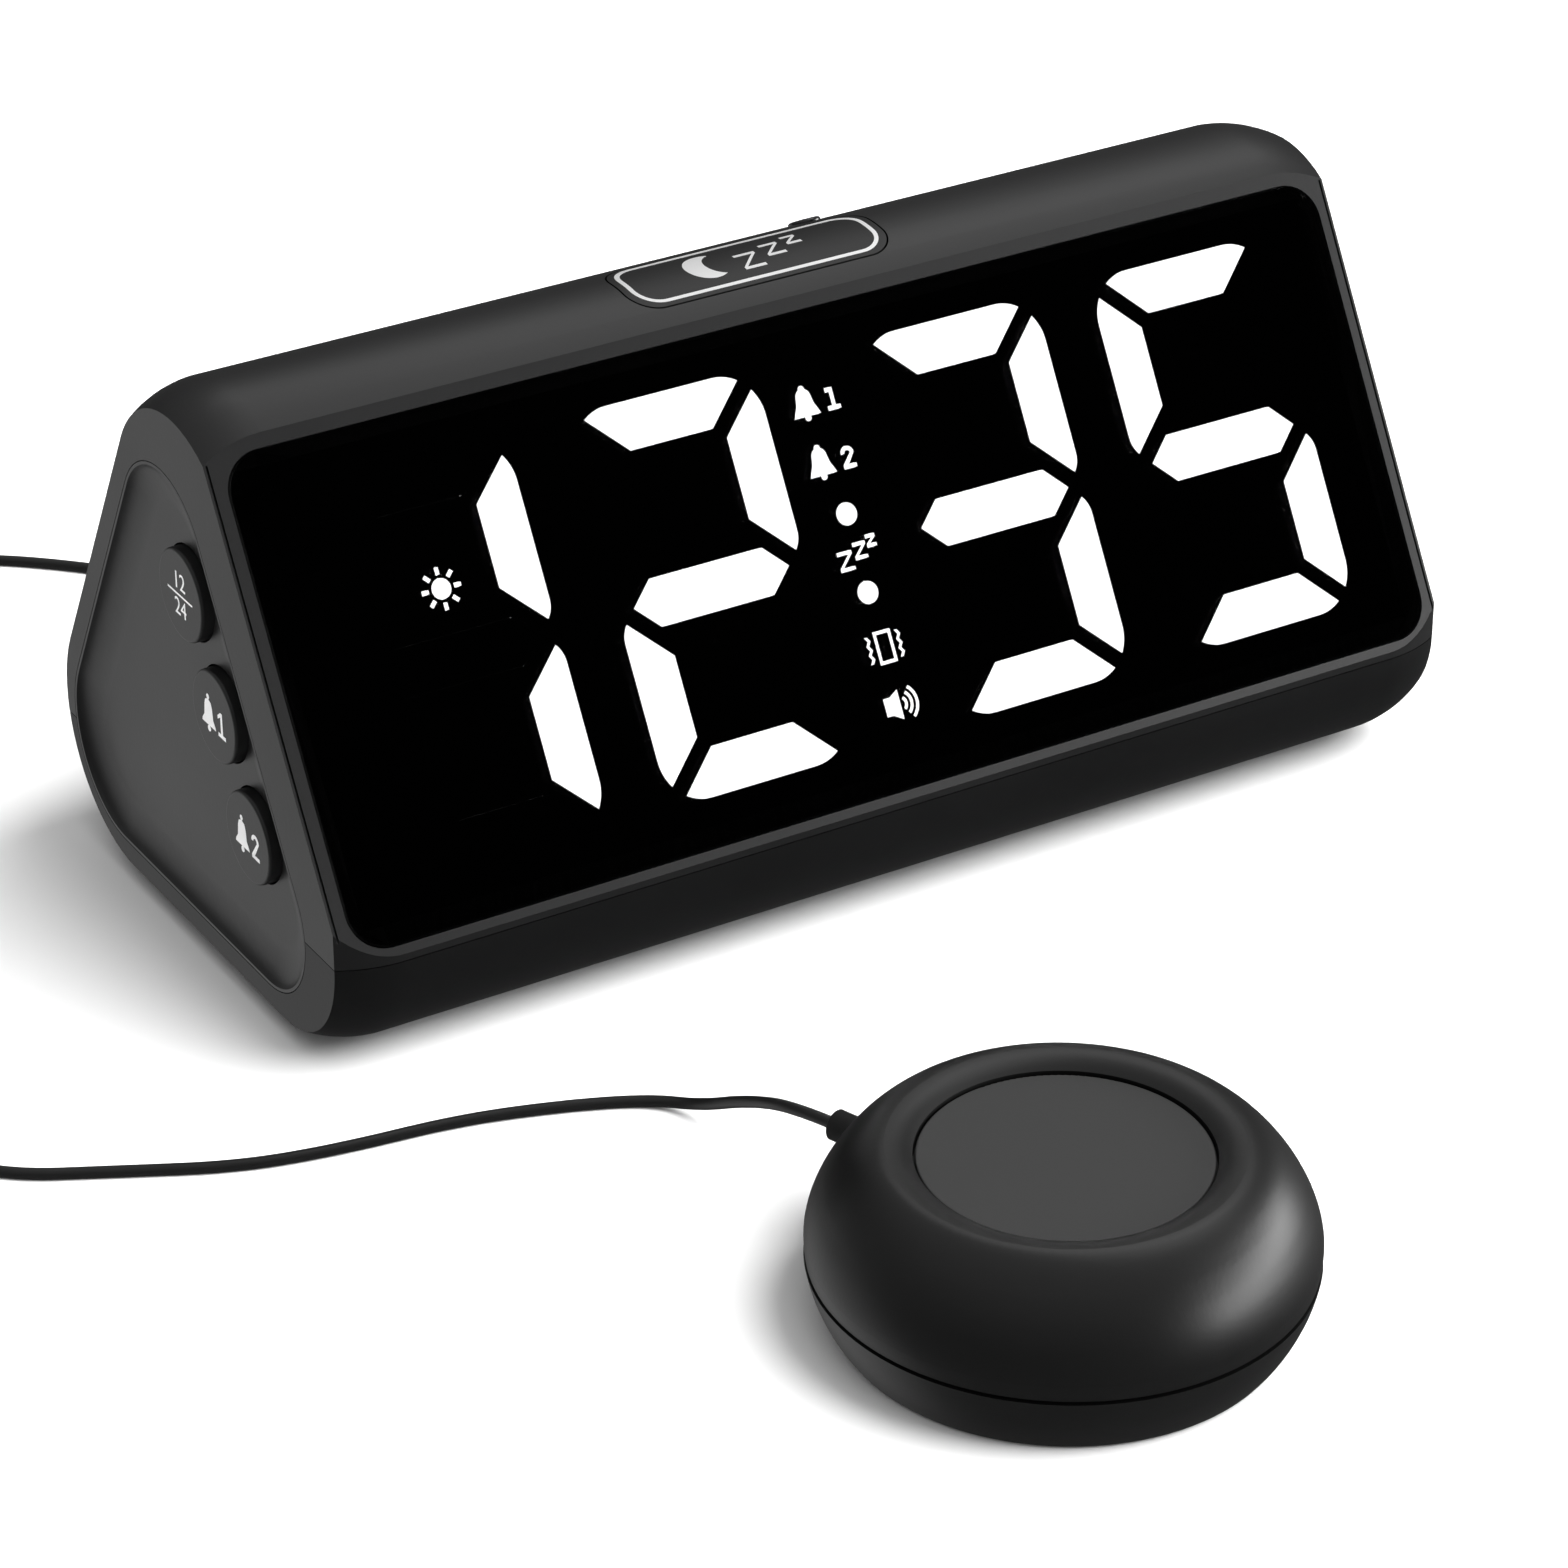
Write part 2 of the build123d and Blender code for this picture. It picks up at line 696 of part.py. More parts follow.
def phone(x, y):
    """A hand-held set with a wavy shake mark each side."""
    s = PHONE_STROKE
    shape = Rectangle(PHONE_WIDTH, PHONE_HEIGHT)
    shape -= Rectangle(PHONE_WIDTH - 2 * s, PHONE_HEIGHT - 2 * s)
    tooth = SHAKE_HEIGHT / SHAKE_TEETH
    for side in (-1, 1):
        place = side * (PHONE_WIDTH / 2 + SHAKE_REACH)
        left = []
        for i in range(SHAKE_TEETH + 1):
            swing = SHAKE_SWING if i % 2 else -SHAKE_SWING
            left.append((place + swing - s / 2, SHAKE_HEIGHT / 2 - i * tooth))
        right = [(across + s, up) for across, up in reversed(left)]
        shape += make_face(Polyline(*left, *right, left[0]))
    return Pos(x, y) * shape


def speaker_mark(x, y):
    """A loudspeaker with three waves."""
    shape = shape_from(HORN_SHARES, SPEAKER_ICON, SPEAKER_ICON)
    for reach in WAVE_REACHES:
        ring = Circle(reach + PHONE_STROKE / 2) - Circle(reach - PHONE_STROKE / 2)
        wedge = shape_from(WAVE_WEDGE_SHARES, 2 * reach, 2 * reach)
        shape += Pos(WAVE_SHIFT, 0) * (ring & wedge)
    return Pos(x, y) * shape


def icon_faces():
    """Everything lit in the middle column of the display."""
    faces = []
    for count, rise in ((1, BELL_UPPER_RISE), (2, BELL_LOWER_RISE)):
        faces.append(bell(-BELL_SHIFT, rise))
        faces.append(numeral(count, NUMERAL_SHIFT, rise - NUMERAL_DROP))
    for side in (-1, 1):
        faces.append(Pos(0, side * ICON_DOT_SPREAD - ICON_DROP) * Circle(ICON_DOT_RADIUS))
    for size, across, up in SLEEP_LETTERS:
        faces.append(sleep_letter(size, across, up))
    faces.append(phone(PHONE_SHIFT, -PHONE_DROP))
    faces.append(speaker_mark(0, -SPEAKER_DROP))
    return [Pos(DISPLAY_SHIFT, 0) * face for face in faces]


def day_face():
    """A small sun in place of the letters for the half of the day."""
    shape = Circle(DAY_MARK_RADIUS)
    for i in range(DAY_MARK_RAYS):
        ray = Pos(DAY_MARK_RADIUS + DAY_MARK_RAY, 0) * Rectangle(DAY_MARK_RAY, NUMERAL_STROKE)
        shape += Rot(0, 0, 360 * i / DAY_MARK_RAYS) * ray
    return Pos(DIGIT_X["hours_tens"], DAY_MARK_RISE) * shape


# Depths of the display's layers below the clock's face
DISPLAY = FACE * Pos(LENS_SHIFT, 0, 0)
MASK_FRONT = LENS_SINK + LENS_THICKNESS + LAYER_GAP
MASK_BACK = MASK_FRONT + MASK_THICKNESS
WEB_FRONT = MASK_BACK + LAYER_GAP
WEB_BACK = WEB_FRONT + WEB_THICKNESS
GUIDE_FRONT = WEB_BACK + LAYER_GAP
GUIDE_BACK = GUIDE_FRONT + GUIDE_THICKNESS
LED_BOARD_FRONT = GUIDE_BACK + LAYER_GAP + LED_HEIGHT
LED_BOARD_BACK = LED_BOARD_FRONT + BOARD_THICKNESS
MASK_END = MASK_FRONT + MASK_DEPTH
MASK_INNER_LENGTH = MASK_LENGTH - 2 * MASK_SKIRT
MASK_INNER_HEIGHT = MASK_HEIGHT - 2 * MASK_SKIRT
EAR_X = [MASK_LENGTH * share for share in MASK_EAR_PLACE_SHARES]
EAR_Y = MASK_HEIGHT / 2 + MASK_EAR / 2


def raised(face, near, far):
    """A display outline made solid between two depths below the face."""
    return DISPLAY * (Pos(0, 0, -far) * extrude(face, amount=far - near, dir=(0, 0, 1)))


def digit_faces(names, grow):
    shapes = []
    for name in names:
        face = segment(name)
        shapes.append(grown(face, grow) if grow else face)
    return shapes


def upper_skin(blank):
    """The body's shell above and below the seam is cut from this hollow blank."""
    outer = END_X - END_RUN
    hollow = prism(
        rounded_section(
            -outer,
            FRONT_WALL,
            WALL,
            WALL,
            CAVITY_NOSE_RADIUS,
            HEEL_RADIUS - WALL,
            CAVITY_APEX_RADIUS,
        ),
        2 * outer,
    )
    panel_back = END_X - DISH_DEPTH - PANEL_WALL - CLEARANCE
    seat = prism(dish_outline(panel_back, -CLEARANCE), END_X - panel_back + OVERRUN)
    throat_start = outer - LEDGE_DEPTH
    throat = prism(dish_outline(throat_start, PANEL_LEDGE), END_X - throat_start)
    hollow += seat + throat
    return blank - hollow - mirrored(seat) - mirrored(throat)


def lens():
    plate = extrude(RectangleRounded(LENS_LENGTH, LENS_HEIGHT, LENS_RADIUS), LENS_THICKNESS)
    plate = chamfer(plate.faces().sort_by(Axis.Z)[-1].edges(), LENS_CHAMFER)
    return DISPLAY * Pos(0, -LENS_DROP, -LENS_SINK - LENS_THICKNESS) * plate


def display_cuts():
    """Rebate for the lens, opening for the display block and pockets for its ears."""
    rebate = RectangleRounded(
        LENS_LENGTH + 2 * CLEARANCE, LENS_HEIGHT + 2 * CLEARANCE, LENS_RADIUS + CLEARANCE
    )
    depth = LENS_SINK + LENS_THICKNESS
    cut = DISPLAY * Pos(0, -LENS_DROP, -depth) * extrude(rebate, OVERRUN)
    window = (MASK_LENGTH + 2 * CLEARANCE, MASK_HEIGHT + 2 * CLEARANCE)
    cut += slanted_box(DISPLAY, 0, 0, 0, MASK_END + CLEARANCE, *window)
    for x in EAR_X:
        far = FRONT_WALL + MASK_EAR_THICKNESS + SCREW_HEAD_HEIGHT + 2 * CLEARANCE
        size = (MASK_EAR_WIDTH + 2 * CLEARANCE, MASK_EAR + 2 * CLEARANCE)
        cut += slanted_box(DISPLAY, x, EAR_Y, FRONT_WALL, far, *size)
        pilot_near = FRONT_WALL - MASK_SCREW_BITE - CLEARANCE
        cut += slanted_rod(DISPLAY, x, EAR_Y, pilot_near, FRONT_WALL, PILOT_RADIUS)
    return cut


def reveal_grooves():
    """The thin dark line down each end of the flat face."""
    cuts = []
    for side in (-1, 1):
        x = side * (END_X - REVEAL_INSET)
        height = FACE_HEIGHT - 2 * END_INSET
        cuts.append(slanted_box(FACE, x, 0, -CLEARANCE, REVEAL_DEPTH, REVEAL_WIDTH, height))
    return cuts


def display_mask():
    """Black block that frames the lit segments, with a skirt and screw ears behind."""
    depth = MASK_END - MASK_FRONT
    solid = slanted_box(DISPLAY, 0, 0, MASK_FRONT, MASK_END, MASK_LENGTH, MASK_HEIGHT)
    solid -= slanted_box(
        DISPLAY, 0, 0, MASK_BACK, MASK_END + depth, MASK_INNER_LENGTH, MASK_INNER_HEIGHT
    )
    for x in EAR_X:
        far = FRONT_WALL + CLEARANCE + MASK_EAR_THICKNESS
        size = (MASK_EAR_WIDTH, MASK_EAR)
        solid += slanted_box(DISPLAY, x, EAR_Y, FRONT_WALL + CLEARANCE, far, *size)
        solid -= slanted_rod(DISPLAY, x, EAR_Y, 0, MASK_END + depth, SCREW_RADIUS + CLEARANCE)
    cuts = []
    for place in DIGIT_X.values():
        for face in digit_faces("abcdefg", SEGMENT_CLEARANCE):
            cuts.append(raised(Pos(place, 0) * face, 0, MASK_END))
    for face in icon_faces() + [day_face()]:
        for part in face.faces():
            cuts.append(raised(grown(part, SEGMENT_CLEARANCE), 0, MASK_END))
    return solid - cuts


def lit_digit(place, lit):
    """The lit segments of one digit on their thin web; the unlit ones pass through it."""
    dark = [name for name in "abcdefg" if name not in lit]
    web = Pos(place, 0) * Rectangle(DIGIT_WIDTH, DIGIT_HEIGHT)
    solid = raised(web, WEB_FRONT, WEB_BACK)
    solid -= [
        raised(Pos(place, 0) * face, 0, GUIDE_BACK)
        for face in digit_faces(dark, 2 * SEGMENT_CLEARANCE)
    ]
    if place == DIGIT_X["hours_tens"]:
        solid -= raised(day_web(2 * SEGMENT_CLEARANCE), 0, GUIDE_BACK)
    for face in digit_faces(lit, 0):
        solid += raised(Pos(place, 0) * face, MASK_FRONT, WEB_BACK)
    return solid


def day_web(grow):
    side = 2 * (DAY_MARK_RADIUS + 2 * DAY_MARK_RAY + grow)
    return Pos(DIGIT_X["hours_tens"], DAY_MARK_RISE) * Rectangle(side, side)


def day_mark():
    solid = raised(day_web(0), WEB_FRONT, WEB_BACK)
    return solid + raised(day_face(), MASK_FRONT, WEB_BACK)


def indicator_icons():
    width = DIGIT_MIDDLE_PITCH - DIGIT_WIDTH - 4 * SEGMENT_CLEARANCE
    web = Pos(DISPLAY_SHIFT, 0) * Rectangle(width, DIGIT_HEIGHT)
    solid = raised(web, WEB_FRONT, WEB_BACK)
    for face in icon_faces():
        solid += raised(face, MASK_FRONT, WEB_BACK)
    return solid


def light_guide():
    """Backing plate that carries the unlit segments."""
    size = (MASK_INNER_LENGTH - 2 * CLEARANCE, MASK_INNER_HEIGHT - 2 * CLEARANCE)
    solid = slanted_box(DISPLAY, 0, 0, GUIDE_FRONT, GUIDE_BACK, *size)
    for digit, place in DIGIT_X.items():
        dark = [name for name in "abcdefg" if name not in LIT[digit]]
        for face in digit_faces(dark, 0):
            solid += raised(Pos(place, 0) * face, MASK_FRONT, GUIDE_BACK)
    return solid


def led_board():
    """Circuit board with a lamp behind the middle of each segment."""
    size = (MASK_INNER_LENGTH - 2 * CLEARANCE, MASK_INNER_HEIGHT - 2 * CLEARANCE)
    solid = slanted_box(DISPLAY, 0, 0, LED_BOARD_FRONT, LED_BOARD_BACK, *size)
    near = LED_BOARD_FRONT - LED_HEIGHT
    for place in DIGIT_X.values():
        for name in "abcdefg":
            spot = segment(name).center()
            lamp = (place + spot.X, spot.Y, near, LED_BOARD_FRONT, LED_SIDE, LED_SIDE)
            solid += slanted_box(DISPLAY, *lamp)
    return solid


def screw(plane, x, y, seat, length, radius, head_radius, head_height):
    """A plain pan-head screw: its head rises from seat, its shank goes down the plane."""
    head = Pos(x, y, seat + head_height / 2) * Cylinder(head_radius, head_height)
    head -= Pos(x, y, seat + head_height) * Box(head_radius, radius / 2, head_height)
    shank = Pos(x, y, seat - length / 2) * Cylinder(radius, length)
    return plane * (head + shank)


def group(shapes):
    """Separate solids kept together in one node."""
    return Compound(children=[solid for shape in shapes for solid in shape.solids()])


def display_screws():
    back = FACE_BACK * Pos(-LENS_SHIFT, 0, 0)
    seat = FRONT_WALL + CLEARANCE + MASK_EAR_THICKNESS
    length = seat - FRONT_WALL + MASK_SCREW_BITE
    return group(
        [
            screw(back, -x, EAR_Y, seat, length, SCREW_RADIUS, SCREW_HEAD_RADIUS, SCREW_HEAD_HEIGHT)
            for x in EAR_X
        ]
    )




# Snooze bar and its switch board
KEY_SKIN_IN = TOP_RADIUS - WALL
FLANGE_OUT = KEY_SKIN_IN - SNOOZE_GAP
FLANGE_IN = FLANGE_OUT - SNOOZE_FLANGE_THICKNESS
SNOOZE_SWITCH_TOP = SNOOZE_BOARD_RISE + SWITCH_HEIGHT + PLUNGER_HEIGHT
SNOOZE_POST_X = SNOOZE_BOARD_LENGTH / 2 - POST_RADIUS - CLEARANCE


def snooze_bar(blank):
    bar = blank & (SNOOZE * extrude(snooze_outline(0), amount=TOP_RADIUS + OVERRUN))
    bar -= SNOOZE * Cylinder(KEY_SKIN_IN, BODY_LENGTH, rotation=(0, 90, 0))
    grow = 2 * SNOOZE_FLANGE
    bar += top_shell_cut(SNOOZE_LENGTH + grow, SNOOZE_WIDTH + grow, FLANGE_IN, FLANGE_OUT)
    neck = (FLANGE_IN + KEY_SKIN_IN) / 2
    inner = extrude(snooze_outline(-SNOOZE_FLANGE), amount=TOP_RADIUS - WALL / 2)
    inner &= Cylinder(TOP_RADIUS - WALL / 2, BODY_LENGTH, rotation=(0, 90, 0))
    inner -= Cylinder(FLANGE_IN, BODY_LENGTH, rotation=(0, 90, 0))
    bar += SNOOZE * inner
    low = SNOOZE_SWITCH_TOP + SNOOZE_TRAVEL + STEM_GAP
    stem = Pos(0, 0, (low + neck) / 2) * Box(SNOOZE_STEM_LENGTH, SNOOZE_STEM_WIDTH, neck - low)
    return bar + SNOOZE * stem


def snooze_cuts():
    cut = SNOOZE * extrude(snooze_outline(SNOOZE_GAP), amount=TOP_RADIUS + OVERRUN)
    grow = 2 * SNOOZE_FLANGE + 2 * SNOOZE_GAP
    size = (SNOOZE_LENGTH + grow, SNOOZE_WIDTH + grow)
    room = Pos(0, 0, TOP_RADIUS / 2) * Box(*size, TOP_RADIUS)
    room &= Cylinder(KEY_SKIN_IN, BODY_LENGTH, rotation=(0, 90, 0))
    return cut + SNOOZE * room


def snooze_posts():
    """Posts that hang from the top wall and hold the snooze switch board."""
    low = SNOOZE_BOARD_RISE
    posts = []
    for side in (-1, 1):
        high = TOP_RADIUS - WALL / 2
        post = Pos(side * SNOOZE_POST_X, 0, (low + high) / 2) * Cylinder(POST_RADIUS, high - low)
        hole = Pos(side * SNOOZE_POST_X, 0, low) * Cylinder(PILOT_RADIUS, 2 * SCREW_LENGTH)
        posts.append(SNOOZE * (post - hole))
    return posts


def tact_switch(plane, x, y, base):
    """A small square push switch standing on its board, with its round plunger."""
    body = Pos(x, y, base + SWITCH_HEIGHT / 2) * Box(SWITCH_SIDE, SWITCH_SIDE, SWITCH_HEIGHT)
    top = base + SWITCH_HEIGHT
    body += Pos(x, y, top + PLUNGER_HEIGHT / 2) * Cylinder(PLUNGER_RADIUS, PLUNGER_HEIGHT)
    return plane * body


def snooze_board():
    top = SNOOZE_BOARD_RISE
    board = Pos(0, 0, top - BOARD_THICKNESS / 2)
    board *= Box(SNOOZE_BOARD_LENGTH, SNOOZE_BOARD_WIDTH, BOARD_THICKNESS)
    for side in (-1, 1):
        board -= Pos(side * SNOOZE_POST_X, 0, top) * Cylinder(SCREW_RADIUS + CLEARANCE, BODY_DEPTH)
    return SNOOZE * board + tact_switch(SNOOZE, 0, 0, top)


def snooze_screws():
    under = Plane(origin=SNOOZE.origin, x_dir=(-1, 0, 0), z_dir=-SNOOZE.z_dir)
    seat = BOARD_THICKNESS - SNOOZE_BOARD_RISE
    size = (SCREW_LENGTH, SCREW_RADIUS, SCREW_HEAD_RADIUS, SCREW_HEAD_HEIGHT)
    return group([screw(under, side * SNOOZE_POST_X, 0, seat, *size) for side in (-1, 1)])


def light_sensor():
    """A small domed window in the top with its lead through the wall."""
    top = TOP_RADIUS + SENSOR_PROUD
    low = TOP_RADIUS - SENSOR_SINK
    button = Pos(0, 0, (low + top) / 2) * Cylinder(SENSOR_RADIUS, top - low)
    button = fillet(button.faces().sort_by(Axis.Z)[-1].edges(), SENSOR_PROUD)
    lead = Pos(0, 0, low - SENSOR_LEAD / 2) * Cylinder(SENSOR_LEAD_RADIUS, SENSOR_LEAD)
    return SENSOR * (button + lead)


def sensor_cuts():
    low = TOP_RADIUS - SENSOR_SINK
    pocket = Pos(0, 0, low + OVERRUN / 2) * Cylinder(SENSOR_RADIUS + CLEARANCE, OVERRUN)
    hole = Pos(0, 0, low) * Cylinder(SENSOR_LEAD_RADIUS + CLEARANCE, 2 * SENSOR_LEAD + CLEARANCE)
    return SENSOR * (pocket + hole)


# Side keys, named with the side that they are on and their place from the middle key
KEYS = (
    ("set_key", -1, 1),
    ("alarm_1_key", -1, 0),
    ("alarm_2_key", -1, -1),
    ("up_key", 1, 1),
    ("down_key", 1, 0),
    ("mode_key", 1, -1),
)
PANEL_BACK = DISH_DEPTH + PANEL_WALL
KEY_SWITCH_TOP = KEY_BOARD_DEPTH - SWITCH_HEIGHT - PLUNGER_HEIGHT
KEY_STEM_END = KEY_SWITCH_TOP - KEY_TRAVEL - STEM_GAP
KEY_POST_PLACE = KEY_POST_REACH / KEY_PITCH


def end_panel(side):
    """Dished end plate with three key holes and two posts for the key board."""
    outer = dish_outline(0, 0)
    plate = prism(outer, PANEL_BACK)
    runs = [i / DISH_STEPS for i in range(DISH_STEPS + 1)]
    wires = [
        dish_outline(DISH_DEPTH * sin(run * pi / 2), DISH_LIP + DISH_SLOPE * run**DISH_CURVE)
        for run in runs
    ]
    bowl = Solid.make_loft(wires)
    bowl += prism(dish_outline(-OVERRUN, DISH_LIP), OVERRUN)
    plate = Pos(-END_X, 0, 0) * (plate - bowl)
    if side > 0:
        plate = mirrored(plate)
    for place in (-1, 0, 1):
        hole = slanted_rod(key_plane(side, place), 0, 0, 0, PANEL_BACK, KEY_DIAMETER / 2 + KEY_GAP)
        plate -= hole
    for place in (-KEY_POST_PLACE, KEY_POST_PLACE):
        plane = key_plane(side, place)
        plate += slanted_rod(plane, 0, 0, PANEL_BACK - PANEL_WALL / 2, KEY_BOARD_DEPTH, POST_RADIUS)
        pilot_near = PANEL_BACK
        plate -= slanted_rod(plane, 0, 0, pilot_near, KEY_BOARD_DEPTH, PILOT_RADIUS)
    return plate


def side_key(side, place):
    cap_far = PANEL_BACK + KEY_GAP + KEY_FLANGE_THICKNESS
    radius = KEY_DIAMETER / 2
    cap = Pos(0, 0, -(KEY_SINK + cap_far) / 2) * Cylinder(radius, cap_far - KEY_SINK)
    cap = fillet(cap.faces().sort_by(Axis.Z)[-1].edges(), KEY_EDGE)
    flange_middle = cap_far - KEY_FLANGE_THICKNESS / 2
    cap += Pos(0, 0, -flange_middle) * Cylinder(radius + KEY_FLANGE, KEY_FLANGE_THICKNESS)
    stem_middle = (cap_far + KEY_STEM_END) / 2
    cap += Pos(0, 0, -stem_middle) * Cylinder(KEY_STEM_RADIUS, KEY_STEM_END - cap_far)
    return key_plane(side, place) * cap


def key_board(side):
    plane = key_plane(side, 0)
    length = 2 * (KEY_POST_REACH + POST_RADIUS + CLEARANCE)
    far = KEY_BOARD_DEPTH + BOARD_THICKNESS
    board = slanted_box(plane, 0, 0, KEY_BOARD_DEPTH, far, KEY_BOARD_WIDTH, length)
    for place in (-KEY_POST_PLACE, KEY_POST_PLACE):
        hole = (0, 0, KEY_BOARD_DEPTH - BOARD_THICKNESS, far, SCREW_RADIUS + CLEARANCE)
        board -= slanted_rod(key_plane(side, place), *hole)
    for place in (-1, 0, 1):
        board += tact_switch(key_plane(side, place), 0, 0, -KEY_BOARD_DEPTH)
    return board


def key_screws():
    screws = []
    seat = KEY_BOARD_DEPTH + BOARD_THICKNESS
    size = (SCREW_LENGTH, SCREW_RADIUS, SCREW_HEAD_RADIUS, SCREW_HEAD_HEIGHT)
    for side in (-1, 1):
        for place in (-KEY_POST_PLACE, KEY_POST_PLACE):
            plane = key_plane(side, place)
            inward = Plane(origin=plane.origin, x_dir=-plane.x_dir, z_dir=-plane.z_dir)
            screws.append(screw(inward, 0, 0, seat, *size))
    return group(screws)


# Back of the clock
def rear_box(x, y, near, far, length, height):
    return slanted_box(REAR, x, y, near, far, length, height)


def rear_rod(x, y, near, far, radius):
    return slanted_rod(REAR, x, y, near, far, radius)


PORT_FACE = WALL + CLEARANCE
SPEAKER_SEAT = WALL + CLEARANCE
PORT_POSTS = [
    PORT_BOARD_SHIFT + side * (PORT_BOARD_LENGTH / 2 - POST_RADIUS - CLEARANCE) for side in (-1, 1)
]
KNOB_FACE = WALL + DIMMER_GAP
KNOB_BACK = KNOB_FACE + DIMMER_FLANGE


def rear_cuts():
    cuts = [
        rear_rod(JACK_SHIFT, 0, -OVERRUN, PORT_FACE, JACK_COLLAR + CLEARANCE),
        rear_rod(INLET_SHIFT, 0, -OVERRUN, PORT_FACE, INLET_COLLAR + CLEARANCE),
    ]
    usb = (USB_WIDTH + 2 * CLEARANCE, USB_HEIGHT + 2 * CLEARANCE)
    cuts.append(rear_box(USB_SHIFT, 0, -OVERRUN, PORT_FACE, *usb))
    for x, side in ((JACK_SHIFT, JACK_SIDE), (INLET_SHIFT, INLET_SIDE)):
        room = side + 2 * CLEARANCE
        cuts.append(rear_box(x, 0, PORT_FACE - CLEARANCE, PORT_BOARD_DEPTH, room, room))
    slot = DIMMER_KNOB_LENGTH + 2 * DIMMER_TRAVEL + 2 * DIMMER_GAP
    size = (slot, DIMMER_KNOB_WIDTH + 2 * DIMMER_GAP)
    cuts.append(rear_box(DIMMER_SHIFT, 0, -OVERRUN, PORT_FACE, *size))
    middle = (GRILLE_SLOTS - 1) / 2
    for i in range(GRILLE_SLOTS):
        drop = (i - middle) * GRILLE_PITCH
        length = 2 * sqrt(GRILLE_REACH**2 - drop**2)
        place = Pos(SPEAKER_SHIFT, SPEAKER_RISE + drop, -SPEAKER_SEAT)
        cuts.append(REAR * place * extrude(SlotOverall(length, GRILLE_SLOT), OVERRUN))
    return cuts


def rear_posts():
    posts = []
    for x in PORT_POSTS:
        post = rear_rod(x, 0, WALL / 2, PORT_BOARD_DEPTH, POST_RADIUS)
        posts.append(post - rear_rod(x, 0, PORT_BOARD_DEPTH - SCREW_LENGTH, PORT_BOARD_DEPTH, PILOT_RADIUS))
    inner = SPEAKER_RADIUS + CLEARANCE
    low = SPEAKER_SEAT + SPEAKER_FLANGE
    ring = rear_rod(SPEAKER_SHIFT, SPEAKER_RISE, WALL / 2, low, inner + SPEAKER_RING)
    ring -= rear_rod(SPEAKER_SHIFT, SPEAKER_RISE, 0, SPEAKER_DEPTH + WALL, inner)
    posts.append(ring)
    return posts


def rear_board():
    far = PORT_BOARD_DEPTH + BOARD_THICKNESS
    board = rear_box(PORT_BOARD_SHIFT, 0, PORT_BOARD_DEPTH, far, PORT_BOARD_LENGTH, PORT_BOARD_WIDTH)
    for x in PORT_POSTS:
        board -= rear_rod(x, 0, WALL, far + WALL, SCREW_RADIUS + CLEARANCE)
    return board


def rear_board_screws():
    inward = Plane(origin=REAR.origin, x_dir=-REAR.x_dir, z_dir=-REAR.z_dir)
    seat = PORT_BOARD_DEPTH + BOARD_THICKNESS
    size = (SCREW_LENGTH, SCREW_RADIUS, SCREW_HEAD_RADIUS, SCREW_HEAD_HEIGHT)
    return group([screw(inward, -x, 0, seat, *size) for x in PORT_POSTS])


def round_port(x, side, collar, bore, depth):
    """A socket on the rear board whose collar fills its hole in the back wall."""
    body = rear_box(x, 0, PORT_FACE, PORT_BOARD_DEPTH, side, side)
    body += rear_rod(x, 0, PORT_SINK, PORT_BOARD_DEPTH, collar)
    return body - rear_rod(x, 0, 0, depth, bore)


def shaker_jack():
    return round_port(JACK_SHIFT, JACK_SIDE, JACK_COLLAR, JACK_BORE, JACK_BORE_DEPTH)


def dc_inlet():
    body = round_port(INLET_SHIFT, INLET_SIDE, INLET_COLLAR, INLET_BORE, INLET_BORE_DEPTH)
    return body + rear_rod(INLET_SHIFT, 0, 2 * PORT_SINK, PORT_BOARD_DEPTH, INLET_PIN)


def usb_port():
    body = rear_box(USB_SHIFT, 0, PORT_SINK, PORT_BOARD_DEPTH, USB_WIDTH, USB_HEIGHT)
    inside = (USB_WIDTH - 2 * USB_WALL, USB_HEIGHT - 2 * USB_WALL)
    body -= rear_box(USB_SHIFT, 0, 0, PORT_BOARD_DEPTH - USB_WALL, *inside)
    tongue = (USB_WIDTH - 2 * USB_TONGUE, USB_TONGUE)
    return body + rear_box(USB_SHIFT, USB_TONGUE / 2, 2 * PORT_SINK, PORT_BOARD_DEPTH, *tongue)


def dimmer_switch():
    near = KNOB_BACK + DIMMER_GAP
    return rear_box(DIMMER_SHIFT, 0, near, PORT_BOARD_DEPTH, DIMMER_LENGTH, DIMMER_HEIGHT)


def dimmer_knob():
    size = (DIMMER_KNOB_LENGTH, DIMMER_KNOB_WIDTH)
    knob = rear_box(DIMMER_SHIFT, 0, -DIMMER_KNOB_PROUD, KNOB_BACK, *size)
    for count in range(DIMMER_RIDGES):
        shift = (count - (DIMMER_RIDGES - 1) / 2) * DIMMER_KNOB_LENGTH / DIMMER_RIDGES
        groove = DIMMER_KNOB_LENGTH / DIMMER_RIDGES / 3
        place = (DIMMER_SHIFT + shift, 0, -DIMMER_KNOB_PROUD, groove - DIMMER_KNOB_PROUD)
        knob -= rear_box(*place, groove, 2 * DIMMER_KNOB_WIDTH)
    edge = 2 * DIMMER_FLANGE
    return knob + rear_box(DIMMER_SHIFT, 0, KNOB_FACE, KNOB_BACK, size[0] + edge, size[1] + edge)


